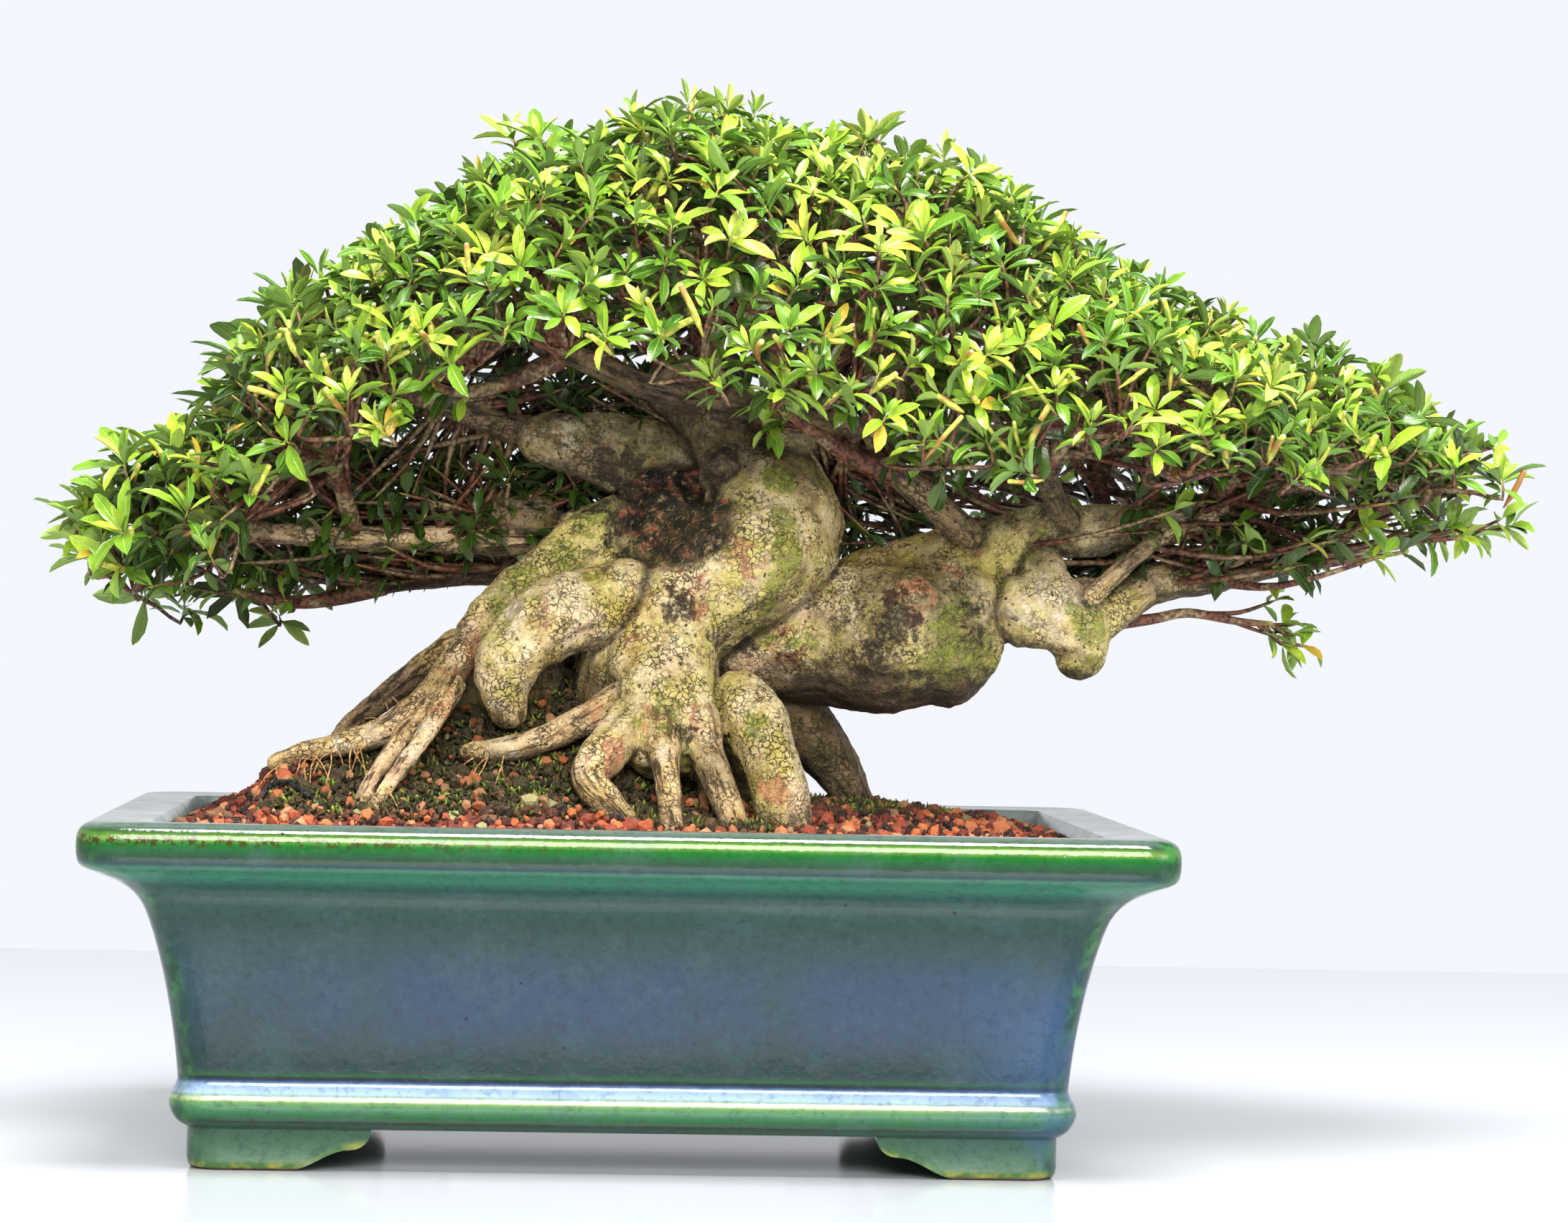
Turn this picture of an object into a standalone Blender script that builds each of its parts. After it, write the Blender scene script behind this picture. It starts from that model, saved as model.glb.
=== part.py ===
"""Satsuki azalea bonsai in a glazed rectangular pot. Metres, +Z up, the front faces -Y."""

import math
import random

import bmesh
import bpy
from mathutils import Matrix, Vector, noise

MM = 0.001
GAP = 0.3                 # clearance between neighbouring pieces
SEED = 11

# Pot, in millimetres. Every half width on the long side has a half depth that is RIM_STEP less.
RIM_HALF = 210.0
RIM_STEP = 60.0
POT_HEIGHT = 135.0
CORNER_RADIUS = 13.0
CORNER_STEPS = 3
LIP_CORNER = 3.0          # the inner corners are this much tighter
FOOT_HALF = 169.0
FOOT_WALL = 14.0
FOOT_TOP = 20.0
UNDERSIDE = 16.5
FLOOR_TOP = 26.0
DRAIN_RADIUS = 12.0
DRAIN_X = 85.0
FRONT_OPENING = 97.5      # half width between the feet on the long sides
SIDE_OPENING = 48.0       # half width between the feet on the short sides
OGEE_STEP = 8.0           # the round notch at the inner end of a foot
OGEE_REACH = 25.0         # the long curve from the notch to the ground
OUTER_PROFILE = [(170.0, UNDERSIDE), (173.0, 19.0), (175.5, 24.0), (175.5, 28.5), (173.3, 33.0),
                 (172.9, 37.0), (174.9, 54.5), (178.8, 76.5), (183.8, 95.6), (188.0, 105.0),
                 (194.0, 110.8), (201.5, 114.6), (207.2, 117.2), (209.6, 120.4), (RIM_HALF, 128.5),
                 (208.4, 132.6), (205.0, 134.6), (200.0, POT_HEIGHT)]
INNER_PROFILE = [(183.5, 134.2), (179.7, 125.0), (175.0, 104.0), (163.0, FLOOR_TOP)]

# Soil, in millimetres: mounds are (x, y, height, spread left, spread right, spread in depth).
SOIL_MIDDLE = 134.0
SOIL_EDGE_DROP = 7.0
SOIL_MOUNDS = [(-20.0, 8.0, 50.0, 34.0, 32.0, 44.0),
               (-85.0, 0.0, 27.0, 38.0, 38.0, 48.0),
               (-125.0, -5.0, 10.0, 25.0, 25.0, 42.0),
               (-136.0, -42.0, 10.0, 7.0, 12.0, 16.0),
               (84.0, 12.0, 7.0, 26.0, 50.0, 40.0)]
SOIL_RINGS = 8
SOIL_GRAIN = 1.3
SOIL_SPACING = 42.0

# Drain meshes and their clips, in millimetres.
MESH_HALF = 19.0
MESH_THICK = 1.2
MESH_CELLS = 3
MESH_BAR = 2.4
CLIP_RADIUS = 0.8
CLIP_LEG = 10.0
CLIP_REACH = 15.5

# Trunk, roots and limbs: routes of (x, y, z, radius) in millimetres from the pot's middle.
THICK_LIMBS = {
    "belly": [(13, -16, 205, 20), (33, -13, 229, 30), (51, -9, 245, 34), (60, -7, 260, 28)],
    "belly_back": [(8, 14, 196, 24), (26, 20, 222, 28), (40, 18, 250, 26), (38, 16, 275, 20)],
    "neck": [(50, -4, 258, 23), (46, 4, 275, 21), (31, 14, 293, 20), (24, 20, 308, 18)],
    "upper_left": [(31, 14, 281, 18), (3, 8, 281, 17), (-14, 3, 285, 14), (-38, -4, 288, 10)],
    "right_riser": [(60, -2, 256, 11), (64, -8, 278, 12.5), (66, -9, 296, 11), (69, -8, 313, 8)],
    "dark_knob": [(34, -19, 272, 8), (35, -23, 277, 9)],
    "hollow_fill": [(15, 2, 257, 17), (6, -2, 243, 15)],
    "root_column": [(15, -18, 219, 23), (14, -30, 196, 21.5), (14, -43, 176, 20), (12, -50, 166, 17)],
    "toe_left": [(2, -54, 175, 10), (-9, -66, 163, 8.6), (-16, -74, 152, 7.4), (-8, -81, 142, 6.6),
                 (3, -86, 130, 5)],
    "toe_middle": [(12, -58, 174, 8), (14, -74, 157, 5.6), (16, -85, 140, 5), (17, -92, 126, 4.4)],
    "toe_right": [(27, -50, 174, 9), (33, -62, 157, 7), (39, -71, 142, 6), (44, -78, 128, 5)],
    "stub_root": [(44, -35, 185, 11.5), (51, -46, 172, 13.2), (57, -56, 157, 11.6),
                  (62, -64, 139, 10), (64, -68, 126, 8)],
    "elbow": [(2, -20, 224, 17), (-23, -32, 218, 15.5), (-41, -40, 207, 14.6), (-50, -42, 191, 12),
              (-48, -40, 176, 7.5)],
    "slope": [(-4, -2, 256, 10), (-24, -6, 243, 10.5), (-47, -14, 223, 10), (-64, -20, 207, 8.5)],
    "slope_body": [(0, 4, 240, 17), (-28, 2, 222, 18), (-50, 4, 200, 17), (-60, 4, 180, 14)],
    "root_a": [(-62, -18, 208, 8), (-77, -32, 186, 6.4), (-95, -41, 170, 5.8), (-113, -45, 163, 5),
               (-128, -45, 159.5, 4.4), (-141, -45, 154.5, 3.6)],
    "root_b": [(-70, -8, 203, 7), (-82, -4, 195, 5.8), (-96, 4, 183, 5.2), (-113, 10, 169, 4.4),
               (-121, 12, 158, 3.6)],
    "root_c1": [(-80, -36, 180, 5), (-94, -58, 161, 3.8), (-104, -74, 144, 3.3), (-108, -82, 132, 3)],
    "root_c2": [(-70, -36, 187, 5), (-82, -62, 166, 3.8), (-97, -79, 144, 3.2), (-103, -86, 131, 3)],
    "middle_root": [(0, -38, 186, 7), (-13, -46, 177, 6.3), (-24, -50, 171, 6), (-40, -52, 164, 5.4),
                    (-54, -51, 161.5, 5), (-64, -50, 160, 4.2)],
    "dark_root": [(60, 14, 188, 13), (73, 20, 173, 12), (86, 26, 158, 10), (98, 30, 140, 7)],
    "root_base": [(10, -6, 200, 30), (4, 0, 170, 30), (0, 4, 140, 22)],
    "left_base": [(-40, -6, 195, 16), (-46, -4, 172, 16), (-50, 0, 150, 12)],
    "back_root_a": [(0, 26, 200, 16), (-24, 46, 178, 12), (-46, 66, 156, 8), (-60, 80, 136, 5.5)],
    "back_root_b": [(28, 30, 194, 16), (42, 54, 168, 11), (52, 74, 148, 8), (58, 88, 128, 5.5)],
    "back_root_c": [(-34, 16, 202, 14), (-64, 34, 180, 9), (-92, 46, 160, 6.5), (-112, 52, 142, 4.5)],
    "right_limb": [(36, 6, 216, 27), (64, 4, 212, 29), (92, -2, 211, 30.5), (116, -8, 210, 31),
                   (130, -10, 208, 25)],
    "limb_belly": [(112, -8, 203, 20), (131, -12, 199, 17)],
    "limb_top": [(92, 2, 226, 17), (124, -3, 236, 18), (146, -6, 244, 15.5), (166, -8, 253, 11),
                 (196, -8, 256, 9.5), (224, -6, 259, 7.7), (242, -4, 267, 5.4)],
    "limb_bump": [(112, -28, 226, 11), (115, -31, 224, 11)],
    "mossy_bulge": [(138, -12, 226, 17), (136, -14, 206, 17)],
    "pale_knob": [(150, -11, 221, 14.5), (166, -15, 222, 15.5), (178, -17, 219, 14.5),
                  (184, -17, 208, 12), (184, -16, 202, 9.5)],
    "knob_bridge": [(184, -14, 213, 11), (196, -9, 222, 9.6), (210, -4, 230, 8.6)],
    "knob_neck": [(166, -10, 246, 9), (168, -14, 232, 11)],
    "right_arm": [(180, -8, 222, 12), (202, -4, 227, 9.6), (220, 0, 235, 8.4), (241, 4, 237, 7),
                  (264, 8, 242, 5.6), (288, 10, 246, 4.2)],
    "arch_left": [(29, 4, 305, 8), (15, -14, 307, 5.6), (-2, -24, 311, 5.2), (-18, -30, 318, 5),
                  (-31, -34, 321, 4.4)],
    "arch_right": [(32, 0, 305, 8), (48, -14, 302, 5.6), (73, -27, 296, 5), (94, -36, 294, 4.2)],
    "left_pale": [(-8, 12, 252, 11), (-30, 13, 249, 8), (-52, 10, 246, 6.6), (-82, 4, 246, 5.4),
                  (-117, -2, 246, 4.8), (-146, -6, 247, 4)],
    "left_dark": [(-8, 20, 248, 11), (-30, 25, 241, 8.6), (-52, 30, 235, 6.6), (-74, 34, 232, 5.6),
                  (-104, 38, 227, 4.4)],
    "left_burl": [(-38, 14, 253, 11), (-54, 13, 255, 10), (-65, 10, 254, 7.5)],
    "left_upper": [(-27, 8, 288, 9), (-53, 4, 293, 6), (-77, -4, 301, 4.8)],
    "red_branch_a": [(146, -10, 243, 8), (125, -22, 262, 6.2), (107, -30, 275, 5.4)],
    "red_branch_b": [(178, -14, 257, 5.5), (166, -26, 279, 4.4)],
    "pale_branch": [(182, -22, 222, 5), (194, -23, 234, 4), (208, -21, 247, 3.7), (221, -15, 256, 3.7)],
}

TRUNK_TRIANGLES = 2100

# Branches that carry the sprays: name of spray, fork on the trunk, middle of the spray's core.
SPRAYS = {
    "spray_left_tip": [(-146, -6, 247), (-186, -4, 250)],
    "spray_left_low_front": [(-112, -4, 247), (-128, -58, 278)],
    "spray_left_low_back": [(-100, 37, 228), (-130, 62, 276)],
    "spray_left_upper": [(-75, -3, 300), (-104, 0, 326)],
    "spray_front_left": [(-30, -33, 320), (-48, -84, 334)],
    "spray_front_middle": [(34, -8, 305), (36, -98, 350)],
    "spray_front_right": [(93, -36, 294), (118, -90, 334)],
    "spray_front_far_right": [(166, -26, 279), (190, -66, 305)],
    "spray_back_left": [(10, 24, 306), (-48, 84, 334)],
    "spray_back_middle": [(26, 26, 306), (36, 98, 350)],
    "spray_back_right": [(66, 2, 306), (118, 90, 334)],
    "spray_back_far_right": [(196, -4, 256), (192, 66, 305)],
    "spray_top_left": [(16, 16, 312), (-36, 0, 384)],
    "spray_apex": [(26, 18, 312), (44, 0, 400)],
    "spray_top_right": [(69, -8, 312), (124, 0, 382)],
    "spray_right_upper": [(214, -6, 258), (208, 0, 328)],
    "spray_right_front": [(236, -5, 264), (268, -42, 290)],
    "spray_right_back": [(244, 5, 237), (272, 42, 284)],
    "spray_right_tip": [(286, 10, 246), (326, 0, 270)],
}
FORK_RADIUS = 4.2
TWIG_END_RADIUS = 2.6
WANDER_SHIFTS = [Vector((0.0, 0.0, 0.0)), Vector((17.0, 0.0, 0.0)), Vector((0.0, 17.0, 0.0))]

# Crown: (x, height of the top, height of the lower edge) in millimetres, from tip to tip.
CROWN_OUTLINE = [(-229, 257, 252), (-206, 284, 228), (-183, 297, 222), (-148, 346, 228), (-118, 362, 244),
                 (-74, 395, 260), (-50, 416, 274), (14, 428, 300), (47, 434, 302), (90, 425, 290),
                 (138, 408, 272), (179, 375, 268), (217, 356, 262), (273, 338, 252), (320, 316, 244),
                 (349, 302, 252), (375, 272, 268)]
CROWN_MIDDLE = 60.0
CROWN_HALF_DEPTH = 150.0
WHORL_SPACING = 43.0
WHORL_TRIES = 5000
WHORL_INSET = 15.0
TIP_INSET = 24.0
CORE_RADII = (39.0, 37.0, 15.0)      # along the tree, round the crown, through the leaves
CORE_DEPTH = 24.0                    # of a twig's root below its whorl
LEAF_LENGTH = 32.0
LEAF_WIDTH = 15.0
LEAF_THICK = 1.8
LEAVES_A_WHORL = 5
CELL_MARGIN = 0.4

# Finishes: base colour, roughness, metallic value.
GLAZE = ((0.075, 0.16, 0.155, 1.0), 0.22, 0.0)
SOIL_BROWN = ((0.16, 0.062, 0.032, 1.0), 0.95, 0.0)
BARK = ((0.50, 0.42, 0.24, 1.0), 0.75, 0.0)
LEAF_GREEN = ((0.085, 0.26, 0.03, 1.0), 0.45, 0.0)
MESH_BLACK = ((0.02, 0.02, 0.022, 1.0), 0.6, 0.0)
WIRE_GREY = ((0.16, 0.17, 0.18, 1.0), 0.4, 1.0)


def clear_scene():
    for item in list(bpy.data.objects):
        bpy.data.objects.remove(item, do_unlink=True)


def make_material(name, finish):
    colour, roughness, metallic = finish
    material = bpy.data.materials.new(name)
    material.use_nodes = True
    shader = material.node_tree.nodes["Principled BSDF"]
    shader.inputs["Base Color"].default_value = colour
    shader.inputs["Roughness"].default_value = roughness
    shader.inputs["Metallic"].default_value = metallic
    return material


def add_object(name, bm, material=None):
    """Turn a bmesh that was drawn in millimetres into an object in metres."""
    bmesh.ops.recalc_face_normals(bm, faces=bm.faces[:])
    bmesh.ops.transform(bm, matrix=Matrix.Scale(MM, 4), verts=bm.verts[:])
    mesh = bpy.data.meshes.new(name)
    bm.to_mesh(mesh)
    bm.free()
    item = bpy.data.objects.new(name, mesh)
    bpy.context.scene.collection.objects.link(item)
    if material:
        mesh.materials.append(material)
    return item


def apply_modifiers(item):
    graph = bpy.context.evaluated_depsgraph_get()
    mesh = bpy.data.meshes.new_from_object(item.evaluated_get(graph))
    item.modifiers.clear()
    item.data = mesh


def boolean(item, operation, others, solver="EXACT"):
    """Join or cut an object with several others, which are removed afterwards."""
    tools = bpy.data.collections.new(item.name + "_tools")
    for other in others:
        tools.objects.link(other)
    modifier = item.modifiers.new(operation.lower(), "BOOLEAN")
    modifier.operation = operation
    modifier.operand_type = "COLLECTION"
    modifier.collection = tools
    modifier.solver = solver
    apply_modifiers(item)
    for other in others:
        bpy.data.objects.remove(other, do_unlink=True)
    bpy.data.collections.remove(tools)


def keep_largest_body(item):
    """Drop the loose scraps that a cut leaves behind."""
    bm = bmesh.new()
    bm.from_mesh(item.data)
    unseen = set(bm.verts)
    bodies = []
    while unseen:
        stack = [unseen.pop()]
        body = []
        while stack:
            vert = stack.pop()
            body.append(vert)
            for edge in vert.link_edges:
                other = edge.other_vert(vert)
                if other in unseen:
                    unseen.remove(other)
                    stack.append(other)
        bodies.append(body)
    bodies.sort(key=len, reverse=True)
    scraps = [vert for body in bodies[1:] for vert in body]
    bmesh.ops.delete(bm, geom=scraps, context="VERTS")
    bm.to_mesh(item.data)
    bm.free()


def shade_round(item, angle=40.0):
    item.data.shade_smooth()
    item.data.set_sharp_from_angle(angle=math.radians(angle))


def fattened_copy(item, clearance):
    """A closed cutter that stands off an object by a clearance in millimetres."""
    bm = bmesh.new()
    bm.from_mesh(item.data)
    bm.normal_update()
    moves = [(vert, vert.normal * clearance * MM) for vert in bm.verts]
    for vert, move in moves:
        vert.co += move
    mesh = bpy.data.meshes.new(item.name + "_cutter")
    bm.to_mesh(mesh)
    bm.free()
    cutter = bpy.data.objects.new(mesh.name, mesh)
    bpy.context.scene.collection.objects.link(cutter)
    cutter.hide_render = True
    cutter.display_type = "WIRE"
    return cutter


def rounded_ring(half_x, half_y, radius, z):
    """Points of a rectangle with round corners, counter-clockwise from the right side."""
    points = []
    for quarter in range(4):
        start = quarter * math.pi / 2
        sign_x = 1 if quarter in (0, 3) else -1
        sign_y = 1 if quarter in (0, 1) else -1
        for step in range(CORNER_STEPS + 1):
            angle = start + step * math.pi / 2 / CORNER_STEPS
            points.append(Vector((sign_x * (half_x - radius) + radius * math.cos(angle),
                                  sign_y * (half_y - radius) + radius * math.sin(angle), z)))
    return points


def loft(bm, rings, cap_first=True, cap_last=True):
    """Join rings of the same count with quads, and close the ends."""
    loops = [[bm.verts.new(point) for point in ring] for ring in rings]
    for low, high in zip(loops, loops[1:]):
        count = len(low)
        for i in range(count):
            j = (i + 1) % count
            bm.faces.new((low[i], low[j], high[j], high[i]))
    if cap_first:
        bm.faces.new(list(reversed(loops[0])))
    if cap_last:
        bm.faces.new(loops[-1])
    return loops


def cylinder(name, x, y, radius, low, high, sides=20):
    bm = bmesh.new()
    ring = [(x + radius * math.cos(2 * math.pi * i / sides), y + radius * math.sin(2 * math.pi * i / sides))
            for i in range(sides)]
    loft(bm, [[Vector((px, py, z)) for px, py in ring] for z in (low, high)])
    return add_object(name, bm)


def box(name, low, high):
    bm = bmesh.new()
    corners = [(low[0], low[1]), (high[0], low[1]), (high[0], high[1]), (low[0], high[1])]
    loft(bm, [[Vector((x, y, z)) for x, y in corners] for z in (low[2], high[2])])
    return add_object(name, bm)


def ogee_outline(opening):
    """Half outline of the gap between two feet: a round notch, then a long curve to the ground."""
    notch_top = UNDERSIDE
    notch_low = UNDERSIDE - OGEE_STEP
    points = [(opening, notch_top)]
    for step in range(1, 4):
        angle = step * math.pi / 6
        points.append((opening + OGEE_STEP * (1 - math.cos(angle)), notch_top - OGEE_STEP * math.sin(angle)))
    for step in range(1, 6):
        share = step / 5
        drop = 0.5 - 0.5 * math.cos(math.pi * share)
        points.append((opening + OGEE_STEP + OGEE_REACH * share, notch_low * (1 - drop)))
    return points


def foot_gap_cutter(name, opening, along_y):
    """Prism that opens the foot ring between two feet, right through the pot."""
    half = ogee_outline(opening)
    half.append((half[-1][0], -5.0))
    outline = half + [(-x, z) for x, z in reversed(half)]
    bm = bmesh.new()
    reach = 260.0
    rings = []
    for side in (-reach, reach):
        rings.append([Vector((x, side, z)) if along_y else Vector((side, x, z)) for x, z in outline])
    loft(bm, rings)
    return add_object(name, bm)


def make_foot_ring():
    bm = bmesh.new()
    inner = FOOT_HALF - FOOT_WALL
    rings = [rounded_ring(FOOT_HALF - 3.0, FOOT_HALF - 3.0 - RIM_STEP, CORNER_RADIUS - 3.0, 0.0),
             rounded_ring(FOOT_HALF, FOOT_HALF - RIM_STEP, CORNER_RADIUS, 4.0),
             rounded_ring(FOOT_HALF, FOOT_HALF - RIM_STEP, CORNER_RADIUS, FOOT_TOP),
             rounded_ring(inner, inner - RIM_STEP, 4.0, FOOT_TOP),
             rounded_ring(inner, inner - RIM_STEP, 4.0, 0.0)]
    loops = loft(bm, rings, cap_first=False, cap_last=False)
    first, last = loops[0], loops[-1]
    for i in range(len(first)):
        j = (i + 1) % len(first)
        bm.faces.new((last[i], last[j], first[j], first[i]))
    ring = add_object("foot_ring", bm)
    cutters = [foot_gap_cutter("front_gap", FRONT_OPENING, True)]
    boolean(ring, "DIFFERENCE", cutters)
    boolean(ring, "DIFFERENCE", [foot_gap_cutter("side_gap", SIDE_OPENING, False)])
    return ring


def make_pot(material):
    bm = bmesh.new()
    rings = [rounded_ring(half, half - RIM_STEP, CORNER_RADIUS, z) for half, z in OUTER_PROFILE]
    corner = CORNER_RADIUS - LIP_CORNER
    rings += [rounded_ring(half, half - RIM_STEP, corner, z) for half, z in INNER_PROFILE]
    loft(bm, rings)
    pot = add_object("pot", bm, material)
    boolean(pot, "UNION", [make_foot_ring()])
    drains = [cylinder("drain", side * DRAIN_X, 0.0, DRAIN_RADIUS, 5.0, 60.0) for side in (-1, 1)]
    boolean(pot, "DIFFERENCE", drains)
    shade_round(pot, 35.0)
    return pot


def soil_height(x, y):
    """Height of the soil's surface: nearly flat at the walls, heaped up under the roots."""
    edge = max(abs(x) / 178.0, abs(y) / 118.0)
    height = SOIL_MIDDLE - SOIL_EDGE_DROP * edge ** 6
    for mx, my, rise, left, right, deep in SOIL_MOUNDS:
        spread = left if x < mx else right
        height += rise * math.exp(-((x - mx) / spread) ** 2 / 2 - ((y - my) / deep) ** 2 / 2)
    grain = noise.noise(Vector((x, y, 3.0)) / 6.5)
    return height + SOIL_GRAIN * grain * min(1.0, 6.0 * (1.0 - min(1.0, edge)))


def side_steps(ring, spacing):
    """How many parts each side of a ring is cut into, so that none is longer than the spacing."""
    return [max(1, round((end - start).length / spacing)) for start, end in zip(ring, ring[1:] + ring[:1])]


def refine_ring(ring, steps):
    points = []
    for start, end, count in zip(ring, ring[1:] + ring[:1], steps):
        points += [start.lerp(end, part / count) for part in range(count)]
    return points


def make_soil(material):
    walls = [[half - GAP, z] for half, z in reversed(INNER_PROFILE[1:])]
    walls[0][1] += GAP
    corner = CORNER_RADIUS - LIP_CORNER - GAP
    wall_rings = [rounded_ring(half, half - RIM_STEP, corner, z) for half, z in walls]
    steps = side_steps(wall_rings[-1], SOIL_SPACING)
    rings = [refine_ring(ring, steps) for ring in wall_rings]
    outline = rings.pop()
    for step in range(SOIL_RINGS):
        share = 1.0 - step / SOIL_RINGS
        rings.append([Vector((p.x * share, p.y * share, soil_height(p.x * share, p.y * share)))
                      for p in outline])
    bm = bmesh.new()
    loops = loft(bm, rings, cap_last=False)
    peak = bm.verts.new((0.0, 0.0, soil_height(0.0, 0.0)))
    last = loops[-1]
    for i in range(len(last)):
        bm.faces.new((last[i], last[(i + 1) % len(last)], peak))
    bmesh.ops.triangulate(bm, faces=bm.faces[:])
    return add_object("soil", bm, material)


def smooth_route(stations, steps):
    """Catmull-Rom points through stations of any dimension."""
    points = [stations[0]] + list(stations) + [stations[-1]]
    route = []
    for a, b, c, d in zip(points, points[1:], points[2:], points[3:]):
        for step in range(steps):
            t = step / steps
            route.append([0.5 * (2 * q + (r - p) * t + (2 * p - 5 * q + 4 * r - s) * t * t
                                 + (3 * q - p - 3 * r + s) * t ** 3) for p, q, r, s in zip(a, b, c, d)])
    route.append(list(stations[-1]))
    return route


def add_tube(bm, stations, sides, steps):
    """Sweep a round section of changing radius along a route, with rounded ends."""
    route = smooth_route(stations, steps)
    centres = [Vector(point[:3]) for point in route]
    radii = [point[3] for point in route]
    first_way = (centres[1] - centres[0]).normalized()
    last_way = (centres[-1] - centres[-2]).normalized()
    side = first_way.orthogonal().normalized()
    rings = []
    stops = [(centres[0] - first_way * radii[0] * 0.6, radii[0] * 0.66, first_way)]
    for i, centre in enumerate(centres):
        way = (centres[min(i + 1, len(centres) - 1)] - centres[max(i - 1, 0)]).normalized()
        stops.append((centre, radii[i], way))
    stops.append((centres[-1] + last_way * radii[-1] * 0.6, radii[-1] * 0.66, last_way))
    for centre, radius, way in stops:
        side = (side - way * side.dot(way)).normalized()
        up = way.cross(side)
        rings.append([centre + side * radius * math.cos(2 * math.pi * i / sides)
                      + up * radius * math.sin(2 * math.pi * i / sides) for i in range(sides)])
    loops = loft(bm, rings, cap_first=False, cap_last=False)
    for loop, point in ((loops[0], centres[0] - first_way * radii[0]),
                        (loops[-1], centres[-1] + last_way * radii[-1])):
        apex = bm.verts.new(point)
        for i in range(sides):
            bm.faces.new((loop[i], loop[(i + 1) % sides], apex))


def branch_route(fork, core):
    """Route from a fork on the trunk to the middle of a spray: it rises first, then levels out."""
    start = Vector(fork)
    end = Vector(core)
    bend = start.lerp(end, 0.55) + Vector((0.0, 0.0, 0.10 * (end - start).length))
    wander = Vector([noise.noise(start / 23.0 + shift) for shift in WANDER_SHIFTS]) * 4.0
    return [(*start, FORK_RADIUS), (*(bend + wander), (FORK_RADIUS + TWIG_END_RADIUS) / 2),
            (*end, TWIG_END_RADIUS)]


def make_trunk(material):
    """Thick limbs melt into one skin, and the spray branches are joined on afterwards."""
    bm = bmesh.new()
    for stations in THICK_LIMBS.values():
        add_tube(bm, stations, 12, 4)
    trunk = add_object("trunk", bm, material)
    remesh = trunk.modifiers.new("skin", "REMESH")
    remesh.mode = "VOXEL"
    remesh.voxel_size = 2.2 * MM
    smooth = trunk.modifiers.new("soften", "SMOOTH")
    smooth.factor = 0.5
    smooth.iterations = 2
    apply_modifiers(trunk)
    bark_relief(trunk.data)
    decimate = trunk.modifiers.new("thin_out", "DECIMATE")
    decimate.ratio = TRUNK_TRIANGLES / (2.0 * len(trunk.data.polygons))
    decimate.use_collapse_triangulate = True
    apply_modifiers(trunk)
    branches = []
    for name, (fork, core) in SPRAYS.items():
        bm = bmesh.new()
        add_tube(bm, branch_route(fork, core), 5, 2)
        branches.append(add_object("branch_" + name, bm))
    boolean(trunk, "UNION", branches, "MANIFOLD")
    keep_largest_body(trunk)
    shade_round(trunk, 60.0)
    return trunk


def bark_relief(mesh):
    """Low swellings and hollows of old bark."""
    normals = [vert.normal.copy() for vert in mesh.vertices]
    for vert, normal in zip(mesh.vertices, normals):
        place = vert.co / MM
        swell = noise.noise(place / 21.0) * 1.3 + noise.noise(place / 8.0) * 0.5
        vert.co += normal * swell * MM


def crown_section(x):
    """Top, lower edge and half depth of the crown at a place along its length."""
    for (x0, top0, low0), (x1, top1, low1) in zip(CROWN_OUTLINE, CROWN_OUTLINE[1:]):
        if x <= x1:
            t = (x - x0) / (x1 - x0)
            break
    top = top0 + (top1 - top0) * t
    low = low0 + (low1 - low0) * t
    reach = CROWN_MIDDLE - CROWN_OUTLINE[0][0] if x < CROWN_MIDDLE else CROWN_OUTLINE[-1][0] - CROWN_MIDDLE
    along = min(1.0, abs(x - CROWN_MIDDLE) / reach)
    return top, low, CROWN_HALF_DEPTH * (1.0 - along ** 2.2) ** 0.6


def crown_point(x, angle):
    """A place on the crown's surface: angle 0 is the top, +-90 degrees the back and front edges."""
    top, low, deep = crown_section(x)
    y = deep * math.sin(angle)
    lift = math.copysign(abs(math.cos(angle)) ** 0.8, math.cos(angle))
    z = low + (top - low) * lift if lift > 0 else low + 0.35 * (top - low) * lift
    return Vector((x, y, z))


def whorl_sites(rng):
    """Evenly spread places for whorls of leaves over the crown, by seeded dart throwing."""
    sites = []
    left, right = CROWN_OUTLINE[0][0] + TIP_INSET, CROWN_OUTLINE[-1][0] - TIP_INSET
    for x in (left, right):
        sites.append(crown_point(x, 0.0))
    for _ in range(WHORL_TRIES):
        site = crown_point(rng.uniform(left, right), math.radians(rng.uniform(-112.0, 112.0)))
        if all((site - other).length > WHORL_SPACING for other in sites):
            sites.append(site)
    return [site - crown_outward(site) * WHORL_INSET for site in sites]


def nearest_spray(site):
    return min(SPRAYS, key=lambda name: (Vector(SPRAYS[name][1]) - site).length)


def inside_cell(points, name):
    """True where every point is nearer this spray's core than any other, by a margin."""
    own = Vector(SPRAYS[name][1])
    for other_name, (_, core) in SPRAYS.items():
        if other_name == name:
            continue
        other = Vector(core)
        way = (other - own).normalized()
        middle = (own + other) / 2
        if any((point - middle).dot(way) > -CELL_MARGIN for point in points):
            return False
    return True


def blade_points(base, way, face, length):
    """Five corners of a leaf: its left side, under rib, right side, upper rib and tip."""
    side = way.cross(face).normalized()
    middle = base + way * length * 0.55
    return [middle + side * LEAF_WIDTH / 2 + face * 0.5, middle - face * LEAF_THICK * 0.6,
            middle - side * LEAF_WIDTH / 2 + face * 0.5, middle + face * LEAF_THICK * 0.5,
            base + way * length - face * 1.6]


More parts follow.
